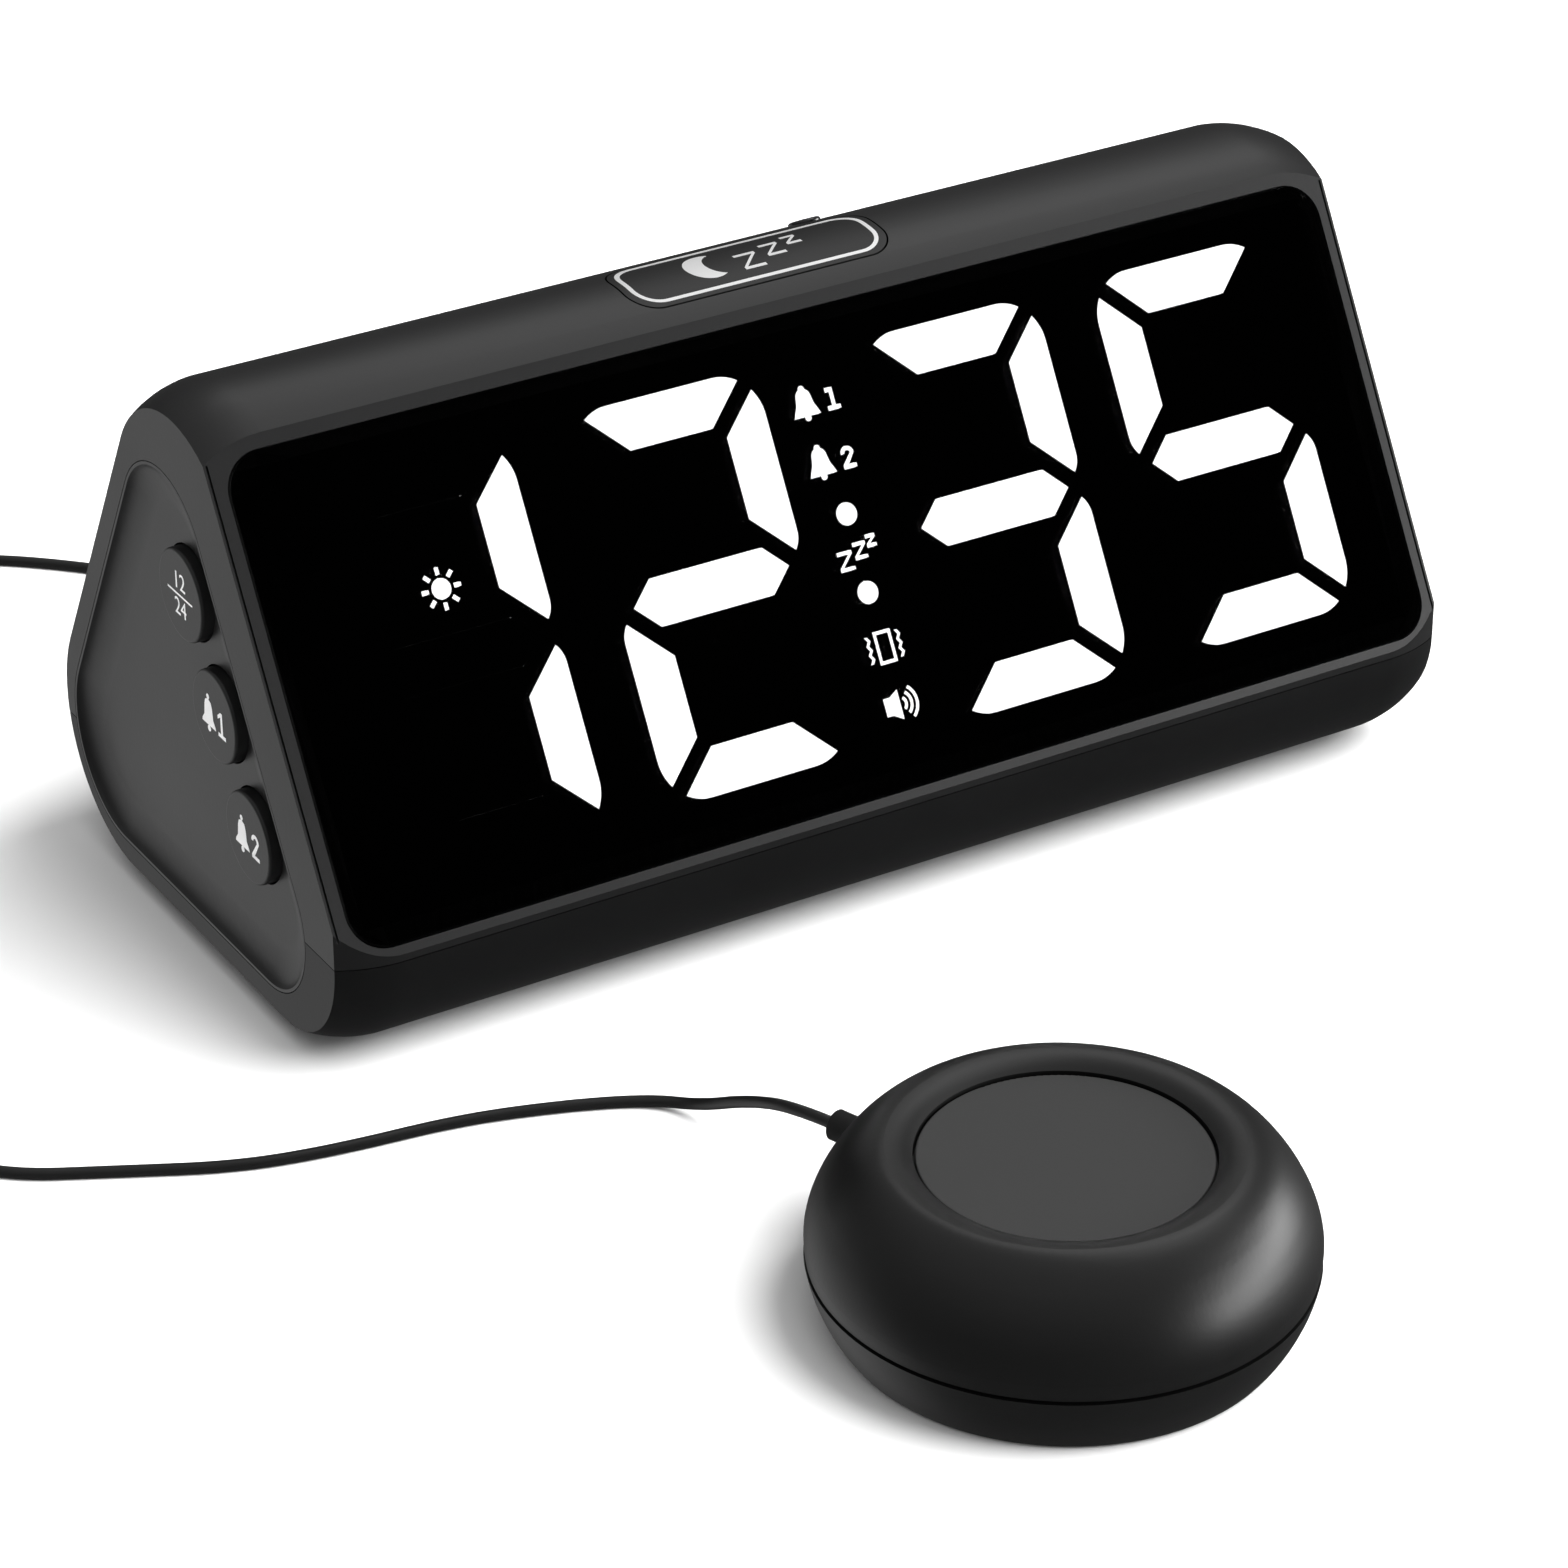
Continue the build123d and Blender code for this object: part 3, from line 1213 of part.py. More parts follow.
def speaker():
    low = SPEAKER_SEAT
    rim = rear_rod(SPEAKER_SHIFT, SPEAKER_RISE, low, low + SPEAKER_FLANGE, SPEAKER_RADIUS)
    start = REAR * Pos(SPEAKER_SHIFT, SPEAKER_RISE, -low)
    run = SPEAKER_DEPTH - SPEAKER_FLANGE
    cone_middle = -SPEAKER_FLANGE - run / 4
    mouth = SPEAKER_RADIUS - SPEAKER_FLANGE
    rim += start * Pos(0, 0, cone_middle) * Cone(SPEAKER_MAGNET_RADIUS, mouth, run / 2)
    magnet = (low + SPEAKER_DEPTH - run / 2, low + SPEAKER_DEPTH, SPEAKER_MAGNET_RADIUS)
    rim += rear_rod(SPEAKER_SHIFT, SPEAKER_RISE, *magnet)
    dish = Pos(0, 0, -SPEAKER_FLANGE / 2) * Cone(SPEAKER_FLANGE, mouth, SPEAKER_FLANGE)
    return rim - start * dish


# Base and what stands on it
FLOOR_TOP = FOOT_STAND + WALL
SEAM_LOW = SEAM_HEIGHT - SEAM_GAP / 2
SEAM_HIGH = SEAM_HEIGHT + SEAM_GAP / 2
SCREW_SEAT = FOOT_STAND + BASE_SCREW_SINK
BASE_SCREW_Y = BACK_Y - BASE_SCREW_INSET
BASE_SCREW_X = (-BASE_SCREW_REACH, 0, BASE_SCREW_REACH)
BOARD_LOW = FLOOR_TOP + MAIN_BOARD_RISE
BOARD_TOP = BOARD_LOW + BOARD_THICKNESS
BOARD_Y = FRONT_Y + MAIN_BOARD_INSET + MAIN_BOARD_WIDTH / 2
CELL_Y = BOARD_Y
DOOR_RADIUS = CELL_RADIUS + DOOR_MARGIN
CELL_SHIFT = END_X - CELL_INSET
EAR_SHIFT = CELL_SHIFT + DOOR_EAR_REACH


def rod(x, y, low, high, radius):
    return Pos(x, y, (low + high) / 2) * Cylinder(radius, high - low)


def slab(x, y, low, high, length, width):
    return Pos(x, y, (low + high) / 2) * Box(length, width, high - low)


def below(z):
    return slab(0, CLOCK_Y, z - BODY_LENGTH, z, 2 * BODY_LENGTH, BODY_LENGTH)


def above(z):
    return slab(0, CLOCK_Y, z, z + BODY_LENGTH, 2 * BODY_LENGTH, BODY_LENGTH)


def ring_section(near, far, length):
    """The strip between two depths inside the body's walls, its ends at half the length."""
    shapes = [
        prism(
            rounded_section(
                -length / 2,
                FRONT_WALL + depth,
                WALL + depth,
                WALL + depth,
                CAVITY_NOSE_RADIUS - depth,
                HEEL_RADIUS - WALL - depth,
                CAVITY_APEX_RADIUS - depth,
            ),
            length,
        )
        for depth in (near, far)
    ]
    return shapes[0] - shapes[1]


def base_tabs():
    """Upright tabs that stand behind the upper shell's front wall."""
    tabs = []
    front = slab(0, FRONT_Y, 0, SEAM_HIGH + BASE_TAB_RISE, BODY_LENGTH, BODY_DEPTH / 2)
    reach = CLEARANCE + BASE_TAB_THICKNESS
    for share in BASE_TAB_PLACE_SHARES:
        upright = ring_section(CLEARANCE, reach, BASE_TAB_WIDTH) & above(SEAM_LOW)
        root = ring_section(-WALL / 4, reach, BASE_TAB_WIDTH) & below(SEAM_LOW)
        root &= above(SEAM_LOW - BASE_TAB_WIDTH / 2)
        tabs.append(Pos(share * BODY_LENGTH, 0, 0) * ((upright + root) & front))
    return tabs


def feet_places():
    x = END_X - FOOT_INSET_X
    return [(sx * x, y) for sx in (-1, 1) for y in (FRONT_Y + FOOT_FRONT_INSET, BACK_Y - FOOT_BACK_INSET)]


def main_board_posts():
    x = MAIN_BOARD_LENGTH / 2 - POST_RADIUS - CLEARANCE
    y = MAIN_BOARD_WIDTH / 2 - POST_RADIUS - CLEARANCE
    return [(MAIN_BOARD_SHIFT + sx * x, BOARD_Y + sy * y) for sx in (-1, 1) for sy in (-1, 1)]


def base_shell(skin):
    base = skin & below(SEAM_LOW)
    for x in BASE_SCREW_X:
        base += rod(x, BASE_SCREW_Y, FLOOR_TOP - WALL / 2, SEAM_LOW, BASE_POST_RADIUS)
        base -= rod(x, BASE_SCREW_Y, 0, SEAM_HIGH, BASE_SCREW_RADIUS + CLEARANCE)
        base -= rod(x, BASE_SCREW_Y, -OVERRUN, SCREW_SEAT, BASE_SCREW_HEAD + CLEARANCE)
    for x, y in main_board_posts():
        base += rod(x, y, FLOOR_TOP - WALL / 2, BOARD_LOW, POST_RADIUS)
        base -= rod(x, y, FLOOR_TOP, BOARD_LOW, PILOT_RADIUS)
    ear_boss_top = FLOOR_TOP + DOOR_SCREW_LENGTH
    base += rod(EAR_SHIFT, CELL_Y, FLOOR_TOP - WALL / 4, ear_boss_top, POST_RADIUS)
    base += base_tabs()
    for x, y in feet_places():
        base -= rod(x, y, 0, FOOT_STAND + FOOT_DEPTH, FOOT_RADIUS + CLEARANCE)
    base -= rod(CELL_SHIFT, CELL_Y, 0, FLOOR_TOP, DOOR_RADIUS + DOOR_GAP)
    ear_low = FOOT_STAND + DOOR_EAR_THICKNESS + CLEARANCE
    base -= rod(EAR_SHIFT, CELL_Y, 0, ear_low, DOOR_EAR_RADIUS + DOOR_GAP)
    ear_width = 2 * (DOOR_EAR_RADIUS + DOOR_GAP)
    base -= slab((CELL_SHIFT + EAR_SHIFT) / 2, CELL_Y, 0, ear_low, DOOR_EAR_REACH, ear_width)
    base -= rod(EAR_SHIFT, CELL_Y, 0, ear_boss_top - WALL / 2, PILOT_RADIUS)
    return base


def upper_shell(skin, core):
    upper = skin & above(SEAM_HIGH)
    for x in BASE_SCREW_X:
        boss = rod(x, BASE_SCREW_Y, SEAM_HIGH, SEAM_HIGH + BASE_BOSS_RISE, BASE_BOSS_RADIUS)
        reach = BACK_Y - BASE_SCREW_Y
        rib_y = BASE_SCREW_Y + reach / 2
        rib_top = SEAM_HIGH + BASE_RIB_HEIGHT
        boss += slab(x, rib_y, SEAM_HIGH, rib_top, BASE_RIB, reach) & core
        boss -= rod(x, BASE_SCREW_Y, 0, SEAM_HIGH + BASE_BOSS_RISE - BASE_RIB, BASE_SCREW_RADIUS)
        upper += boss
    upper += snooze_posts() + rear_posts()
    upper -= [display_cuts(), snooze_cuts(), sensor_cuts()]
    upper -= reveal_grooves()
    upper -= rear_cuts()
    return upper


def base_screws():
    under = Plane(origin=(0, 0, 0), x_dir=(1, 0, 0), z_dir=(0, 0, -1))
    size = (BASE_SCREW_LENGTH, BASE_SCREW_RADIUS, BASE_SCREW_HEAD, BASE_SCREW_HEAD_HEIGHT)
    return group([screw(under, x, -BASE_SCREW_Y, -SCREW_SEAT, *size) for x in BASE_SCREW_X])


def rubber_feet():
    return group([rod(x, y, 0, FOOT_STAND + FOOT_DEPTH, FOOT_RADIUS) for x, y in feet_places()])


def main_board():
    board = slab(MAIN_BOARD_SHIFT, BOARD_Y, BOARD_LOW, BOARD_TOP, MAIN_BOARD_LENGTH, MAIN_BOARD_WIDTH)
    for x, y in main_board_posts():
        board -= rod(x, y, 0, BOARD_TOP + WALL, SCREW_RADIUS + CLEARANCE)
    chip = (BOARD_TOP, BOARD_TOP + CHIP_HEIGHT, CHIP_SIDE, CHIP_SIDE)
    board += slab(MAIN_BOARD_SHIFT, BOARD_Y, *chip)
    for side in (-1, 1):
        x = MAIN_BOARD_SHIFT + side * MAIN_BOARD_LENGTH / 4
        board += rod(x, BOARD_Y, BOARD_TOP, BOARD_TOP + CAPACITOR_HEIGHT, CAPACITOR_RADIUS)
    return board


def main_board_screws():
    size = (MAIN_BOARD_RISE, SCREW_RADIUS, SCREW_HEAD_RADIUS, SCREW_HEAD_HEIGHT)
    return group([screw(Plane.XY, x, y, BOARD_TOP, *size) for x, y in main_board_posts()])


def coin_cell():
    low = FLOOR_TOP + CELL_GAP
    return fillet(
        rod(CELL_SHIFT, CELL_Y, low, low + CELL_THICKNESS, CELL_RADIUS).edges(), CELL_GAP
    )


def coin_cell_holder():
    """A roofed ring on the floor with the contact spring's slot across its roof."""
    top = FLOOR_TOP + 2 * CELL_GAP + CELL_THICKNESS
    outer = CELL_RADIUS + CELL_GAP + CELL_WALL
    holder = rod(CELL_SHIFT, CELL_Y, FLOOR_TOP, top + CELL_ROOF, outer)
    holder -= rod(CELL_SHIFT, CELL_Y, 0, top, CELL_RADIUS + CELL_GAP)
    return holder - slab(CELL_SHIFT, CELL_Y, top, top + OVERRUN, CELL_RADIUS, CELL_WALL)


def battery_door():
    top = FLOOR_TOP - CLEARANCE
    door = rod(CELL_SHIFT, CELL_Y, FOOT_STAND, top, DOOR_RADIUS)
    ear_top = FOOT_STAND + DOOR_EAR_THICKNESS
    door += rod(EAR_SHIFT, CELL_Y, FOOT_STAND, ear_top, DOOR_EAR_RADIUS)
    middle = (CELL_SHIFT + EAR_SHIFT) / 2
    door += slab(middle, CELL_Y, FOOT_STAND, ear_top, DOOR_EAR_REACH, 2 * DOOR_EAR_RADIUS)
    door -= rod(EAR_SHIFT, CELL_Y, 0, FLOOR_TOP, SCREW_RADIUS + CLEARANCE)
    groove = (FOOT_STAND, FOOT_STAND + DOOR_GROOVE, CELL_RADIUS, DOOR_GROOVE)
    return door - slab(CELL_SHIFT, CELL_Y, *groove)


def battery_door_screw():
    under = Plane(origin=(0, 0, 0), x_dir=(1, 0, 0), z_dir=(0, 0, -1))
    head = DOOR_SCREW_HEAD
    length = DOOR_EAR_THICKNESS + DOOR_SCREW_LENGTH
    return screw(under, EAR_SHIFT, -CELL_Y, -FOOT_STAND, length, SCREW_RADIUS, SCREW_HEAD_RADIUS, head)


# Shaker, drawn about its own axis and moved into place at the end
PUCK = Pos(SHAKER_X, SHAKER_Y, 0)
PUCK_LOW = SHAKER_SEAM - SHAKER_SEAM_GAP / 2
PUCK_HIGH = SHAKER_SEAM + SHAKER_SEAM_GAP / 2
PUCK_FLOOR = SHAKER_FLOOR + SHAKER_WALL
DISC_SEAT = SHAKER_DISC_TOP - SHAKER_DISC_THICKNESS - LAYER_GAP
PUCK_CEILING = DISC_SEAT - SHAKER_WALL
CREST = (CREST_RADIUS, SHAKER_HEIGHT)
WIDEST = (SHAKER_RADIUS, WIDEST_HEIGHT)
DISC_RECESS = SHAKER_DISC_RADIUS + SHAKER_DISC_GAP
MOTOR_LOW = PUCK_FLOOR
MOTOR_TOP = MOTOR_LOW + MOTOR_HEIGHT
WEIGHT_LOW = MOTOR_TOP + WEIGHT_GAP
WEIGHT_TOP = WEIGHT_LOW + WEIGHT_HEIGHT
BRACKET_LOW = PUCK_FLOOR + BRACKET_RISE
PUCK_BOSS_ANGLES = (30, 150, 270)
EXIT = (cos(radians(EXIT_ANGLE)), sin(radians(EXIT_ANGLE)))


def revolved(edges):
    """A closed outline in the XZ plane turned about the Z axis."""
    return revolve(make_face(Wire(edges)), Axis.Z)


def rz(radius, height):
    return Vector(radius, 0, height)


def chain(points):
    return [Edge.make_line(rz(*points[i]), rz(*points[i + 1])) for i in range(len(points) - 1)]


def crown_curve(side, top):
    """A curve that leaves the side upright and reaches the top level."""
    rise = side[1] + CROWN_HANDLE_SHARE * (top[1] - side[1])
    reach = top[0] + CROWN_HANDLE_SHARE * (side[0] - top[0])
    return Edge.make_bezier(rz(*side), rz(side[0], rise), rz(reach, top[1]), rz(*top))


def ring(inner, outer, low, high):
    return rod(0, 0, low, high, outer) - rod(0, 0, low - SHAKER_WALL, high + SHAKER_WALL, inner)


def turned(shape, angle):
    return Rot(0, 0, angle) * shape


def relief_rod(near, far, radius, far_radius):
    """A cone along the cord's way out of the shaker, from radius near to radius far."""
    way = Plane(
        origin=(EXIT[0] * near, EXIT[1] * near, EXIT_HEIGHT),
        x_dir=(0, 0, 1),
        z_dir=(*EXIT, 0),
    )
    length = far - near
    if radius == far_radius:
        return way * Pos(0, 0, length / 2) * Cylinder(radius, length)
    return way * Pos(0, 0, length / 2) * Cone(radius, far_radius, length)


def lip_edges():
    """The rounded step down from the crest to the disc's recess."""
    reach, crest = CREST
    rim = crest - SHAKER_LIP_DROP
    run = reach - DISC_RECESS
    radius = (run**2 + SHAKER_LIP_DROP**2) / (2 * SHAKER_LIP_DROP)
    half = asin(run / radius) / 2
    middle = (reach - radius * sin(half), crest - radius * (1 - cos(half)))
    edges = chain([(0, rim), (DISC_RECESS, rim)])
    edges.append(Edge.make_three_point_arc(rz(DISC_RECESS, rim), rz(*middle), rz(*CREST)))
    return edges + chain([CREST, (reach, crest + SHAKER_WALL), (0, crest + SHAKER_WALL), (0, rim)])


def shaker_upper_shell():
    wall = SHAKER_WALL
    seam = (SHAKER_RADIUS - SHAKER_SIDE_DRAW, PUCK_HIGH)
    bulge = (SHAKER_RADIUS - SHAKER_SIDE_DRAW / 4, (PUCK_HIGH + WIDEST_HEIGHT) / 2)
    side = chain([(0, PUCK_HIGH), seam])
    side.append(Edge.make_three_point_arc(rz(*seam), rz(*bulge), rz(*WIDEST)))
    close = chain([CREST, (0, SHAKER_HEIGHT), (0, PUCK_HIGH)])
    solid = revolved(side + [crown_curve(WIDEST, CREST)] + close)
    low = PUCK_HIGH - wall
    shoulder = (SHAKER_RADIUS - wall, WIDEST_HEIGHT)
    ceiling = (CREST_RADIUS + wall, PUCK_CEILING)
    low_side = chain([(0, low), (SHAKER_RADIUS - wall, low), shoulder])
    low_close = chain([ceiling, (0, PUCK_CEILING), (0, low)])
    solid -= revolved(low_side + [crown_curve(shoulder, ceiling)] + low_close)
    solid -= rod(0, 0, DISC_SEAT, SHAKER_HEIGHT + wall, DISC_RECESS)
    solid -= revolved(lip_edges())
    for angle in PUCK_BOSS_ANGLES:
        boss = rod(SHAKER_BOSS_REACH, 0, PUCK_HIGH, PUCK_CEILING - wall / 2, SHAKER_BOSS_RADIUS)
        solid += turned(boss, angle)
        hole_top = SHAKER_FLOOR + SHAKER_SCREW_SINK + SHAKER_SCREW_LENGTH + CLEARANCE
        solid -= turned(rod(SHAKER_BOSS_REACH, 0, 0, hole_top, PILOT_RADIUS), angle)
    hole = RELIEF_RADIUS + CLEARANCE
    solid -= relief_rod(SHAKER_RADIUS / 2, SHAKER_RADIUS + RELIEF_LENGTH, hole, hole)
    seat = RELIEF_COLLAR + CLEARANCE
    solid -= relief_rod(SHAKER_RADIUS / 2, SHAKER_RADIUS - wall + CLEARANCE, seat, seat)
    return PUCK * solid


def shaker_base_shell():
    wall = SHAKER_WALL
    foot = SHAKER_FOOT_RADIUS
    bulge = (
        (foot + SHAKER_RADIUS) / 2 + SHAKER_SEAM_GAP,
        (SHAKER_FLOOR + PUCK_LOW) / 2 - SHAKER_SEAM_GAP,
    )
    edges = chain([(0, SHAKER_FLOOR), (foot, SHAKER_FLOOR)])
    edges.append(Edge.make_three_point_arc(rz(foot, SHAKER_FLOOR), rz(*bulge), rz(SHAKER_RADIUS, PUCK_LOW)))
    edges += chain([(SHAKER_RADIUS, PUCK_LOW), (0, PUCK_LOW), (0, SHAKER_FLOOR)])
    solid = revolved(edges)
    edges = chain([(0, PUCK_FLOOR), (foot - wall / 2, PUCK_FLOOR), (SHAKER_RADIUS - wall, SHAKER_SEAM)])
    edges += chain([(SHAKER_RADIUS - wall, SHAKER_SEAM), (0, SHAKER_SEAM), (0, PUCK_FLOOR)])
    solid -= revolved(edges)
    for angle in PUCK_BOSS_ANGLES:
        boss = rod(SHAKER_BOSS_REACH, 0, PUCK_FLOOR - wall / 2, PUCK_LOW, SHAKER_BOSS_RADIUS)
        seat = SHAKER_FLOOR + SHAKER_SCREW_SINK
        hole = rod(SHAKER_BOSS_REACH, 0, 0, SHAKER_SEAM, SCREW_RADIUS + CLEARANCE)
        hole += rod(SHAKER_BOSS_REACH, 0, 0, seat, SCREW_HEAD_RADIUS + CLEARANCE)
        solid = solid + turned(boss, angle) - turned(hole, angle)
    for side in (-1, 1):
        post = rod(side * BRACKET_EAR_REACH, 0, PUCK_FLOOR - wall / 2, BRACKET_LOW, POST_RADIUS)
        post -= rod(side * BRACKET_EAR_REACH, 0, PUCK_FLOOR, BRACKET_LOW, PILOT_RADIUS)
        solid += post
    pad_top = SHAKER_PAD_THICKNESS
    solid -= ring(SHAKER_PAD_INNER - CLEARANCE, SHAKER_PAD_OUTER + CLEARANCE, 0, pad_top)
    return PUCK * solid


def shaker_foot_ring():
    return PUCK * ring(SHAKER_PAD_INNER, SHAKER_PAD_OUTER, 0, SHAKER_PAD_THICKNESS)


def shaker_top_disc():
    disc = rod(0, 0, DISC_SEAT + LAYER_GAP, SHAKER_DISC_TOP, SHAKER_DISC_RADIUS)
    return PUCK * fillet(disc.faces().sort_by(Axis.Z)[-1].edges(), SHAKER_DISC_GAP)


def shaker_motor():
    body = fillet(rod(0, 0, MOTOR_LOW, MOTOR_TOP, MOTOR_RADIUS).edges(), SHAKER_DISC_GAP)
    return PUCK * (body - rod(0, 0, MOTOR_TOP - SHAFT_SEAT, MOTOR_TOP + WALL, SHAFT_RADIUS + SHAFT_GAP))


def motor_shaft():
    return PUCK * rod(0, 0, MOTOR_TOP - SHAFT_SEAT + SHAFT_GAP, WEIGHT_TOP, SHAFT_RADIUS)


def eccentric_weight():
    half = rod(0, 0, WEIGHT_LOW, WEIGHT_TOP, WEIGHT_RADIUS)
    half &= slab(0, WEIGHT_RADIUS, WEIGHT_LOW, WEIGHT_TOP, 2 * WEIGHT_RADIUS, 2 * WEIGHT_RADIUS)
    half += rod(0, 0, WEIGHT_LOW, WEIGHT_TOP, WEIGHT_HUB)
    return PUCK * (half - rod(0, 0, 0, WEIGHT_TOP + WALL, SHAFT_RADIUS))


def motor_bracket():
    top = BRACKET_LOW + BRACKET_THICKNESS
    plate = rod(0, 0, BRACKET_LOW, top, BRACKET_RADIUS)
    plate += slab(0, 0, BRACKET_LOW, top, 2 * BRACKET_EAR_REACH, 2 * POST_RADIUS)
    for side in (-1, 1):
        plate += rod(side * BRACKET_EAR_REACH, 0, BRACKET_LOW, top, POST_RADIUS)
        plate -= rod(side * BRACKET_EAR_REACH, 0, 0, top + WALL, SCREW_RADIUS + CLEARANCE)
    return PUCK * (plate - rod(0, 0, 0, top + WALL, MOTOR_RADIUS + LAYER_GAP))


def motor_bracket_screws():
    top = BRACKET_LOW + BRACKET_THICKNESS
    size = (SCREW_LENGTH, SCREW_RADIUS, SCREW_HEAD_RADIUS, SCREW_HEAD_HEIGHT)
    places = (-BRACKET_EAR_REACH, BRACKET_EAR_REACH)
    return PUCK * group([screw(Plane.XY, x, 0, top, *size) for x in places])


def shaker_screws():
    under = Plane(origin=(0, 0, 0), x_dir=(1, 0, 0), z_dir=(0, 0, -1))
    seat = SHAKER_FLOOR + SHAKER_SCREW_SINK
    size = (SHAKER_SCREW_LENGTH, SCREW_RADIUS, SCREW_HEAD_RADIUS, SCREW_HEAD_HEIGHT)
    one = screw(under, SHAKER_BOSS_REACH, 0, -seat, *size)
    return PUCK * group([turned(one, angle) for angle in PUCK_BOSS_ANGLES])


def shaker_strain_relief():
    root = SHAKER_RADIUS - SHAKER_WALL - RELIEF_COLLAR_LENGTH - CLEARANCE
    end = SHAKER_RADIUS + RELIEF_LENGTH
    sleeve = relief_rod(root, end, RELIEF_RADIUS, RELIEF_RADIUS)
    sleeve = chamfer(sleeve.edges().group_by(lambda edge: edge.center().length)[-1], CLEARANCE)
    sleeve += relief_rod(root, root + RELIEF_COLLAR_LENGTH, RELIEF_COLLAR, RELIEF_COLLAR)
    bore = CORD_DIAMETER / 2
    return PUCK * (sleeve - relief_rod(end - RELIEF_ROOT, end + WALL, bore, bore))


# Cord
CORD_RADIUS = CORD_DIAMETER / 2
COIL_TURNS = COIL_LOOPS_A_LAYER
COIL_HALF_STEP = COIL_PITCH / 2
COIL_OUTER = COIL_MIDDLE_RADIUS + (2 * COIL_TURNS - 1) * COIL_HALF_STEP / 2


def coil_stations():
    """Radius and height at each half turn: in, up, out, up, in, up, out."""
    stations = []
    for layer in range(COIL_LAYERS):
        height = CORD_RADIUS + layer * COIL_LAYER_RISE
        for count in range(2 * COIL_TURNS):
            shrink = count if layer % 2 == 0 else 2 * COIL_TURNS - 1 - count
            stations.append((COIL_OUTER - shrink * COIL_HALF_STEP, height))
    return stations[1:]


def coil_points():
    """The coil's half-turn ends, alternately on its right and its left."""
    points = []
    for count, (radius, height) in enumerate(coil_stations()):
        side = 1 if count % 2 == 0 else -1
        points.append(Vector(COIL_X + side * radius, COIL_Y, height))
    return points


def coil_path():
    """Half turns as pairs of arcs that meet in line, with a straight lead at each end."""
    points = coil_points()
    lead = Vector(0, CORD_DIAMETER, 0)
    edges = [Edge.make_line(points[0] - lead, points[0])]
    for count in range(len(points) - 1):
        start = points[count]
        end = points[count + 1]
        forward = Vector(0, 1 if count % 2 == 0 else -1, 0)
        top = (start + end) / 2 + forward * ((end - start).length / 2)
        edges.append(Edge.make_tangent_arc(start, forward, top))
        edges.append(Edge.make_tangent_arc(top, (end - start).normalized(), end))
    edges.append(Edge.make_line(points[-1], points[-1] + lead))
    return Wire(edges)


def tube(path):
    start = path.edges()[0] if isinstance(path, Wire) else path
    plane = Plane(origin=start @ 0, z_dir=start % 0)
    return sweep(plane * Circle(CORD_RADIUS), path=path)


def cord_radii(points):
    """For each bend, the arc that fills 0.45 of the shorter run beside it."""
    radii = []
    for before, corner, after in zip(points, points[1:], points[2:]):
        run_in = corner - before
        run_out = after - corner
        turn = radians(run_in.get_angle(run_out))
        radii.append(BEND_SHARE * min(run_in.length, run_out.length) / tan(turn / 2))
    return radii


def free_run(name, route):
    points = [Vector(*point) for point in route]
    radii = cord_radii(points)
    path = FilletPolyline(*points, radius=radii)
    solid = tube(Wire(path.edges()))
    print(name, "bend radii", " ".join(f"{radius:.1f}" for radius in radii))
    expected = pi * CORD_RADIUS**2 * path.length
    print(name, "length", round(path.length, 1), "volume share", round(solid.volume / expected, 4))
    return solid


def coil():
    path = coil_path()
    solid = tube(path)
    count = COIL_LAYERS * COIL_TURNS * COIL_SAMPLES
    spots = [path @ (i / count) for i in range(count + 1)]
    spacing = path.length / count
    skip = int(2 * COIL_MIDDLE_RADIUS / spacing)
    least = min(
        (spots[i] - spots[j]).length for i in range(count) for j in range(i + skip, count + 1)
    )
    print("coil length", round(path.length, 1), "least gap", round(least - CORD_DIAMETER, 3))
    expected = pi * CORD_RADIUS**2 * path.length
    print("coil volume share", round(solid.volume / expected, 4))
    return solid


# Routes, point by point: first from the shaker to the coil, then from the coil to the clock
COIL_START = coil_points()[0] - Vector(0, CORD_DIAMETER, 0)
COIL_END = coil_points()[-1] + Vector(0, CORD_DIAMETER, 0)
RELIEF_SEAT = SHAKER_RADIUS + RELIEF_LENGTH - RELIEF_ROOT
SHAKER_EXIT = (SHAKER_X + EXIT[0] * RELIEF_SEAT, SHAKER_Y + EXIT[1] * RELIEF_SEAT, EXIT_HEIGHT)
PLUG_END = REAR.from_local_coords(Vector(JACK_SHIFT, 0, CORD_PLUG_LENGTH + CORD_PLUG_TAPER))


def from_plug(x, y, z):
    """A point of the cord's route that keeps its place from the end of the plug."""
    return (PLUG_END.X + x, PLUG_END.Y + y, PLUG_END.Z + z)


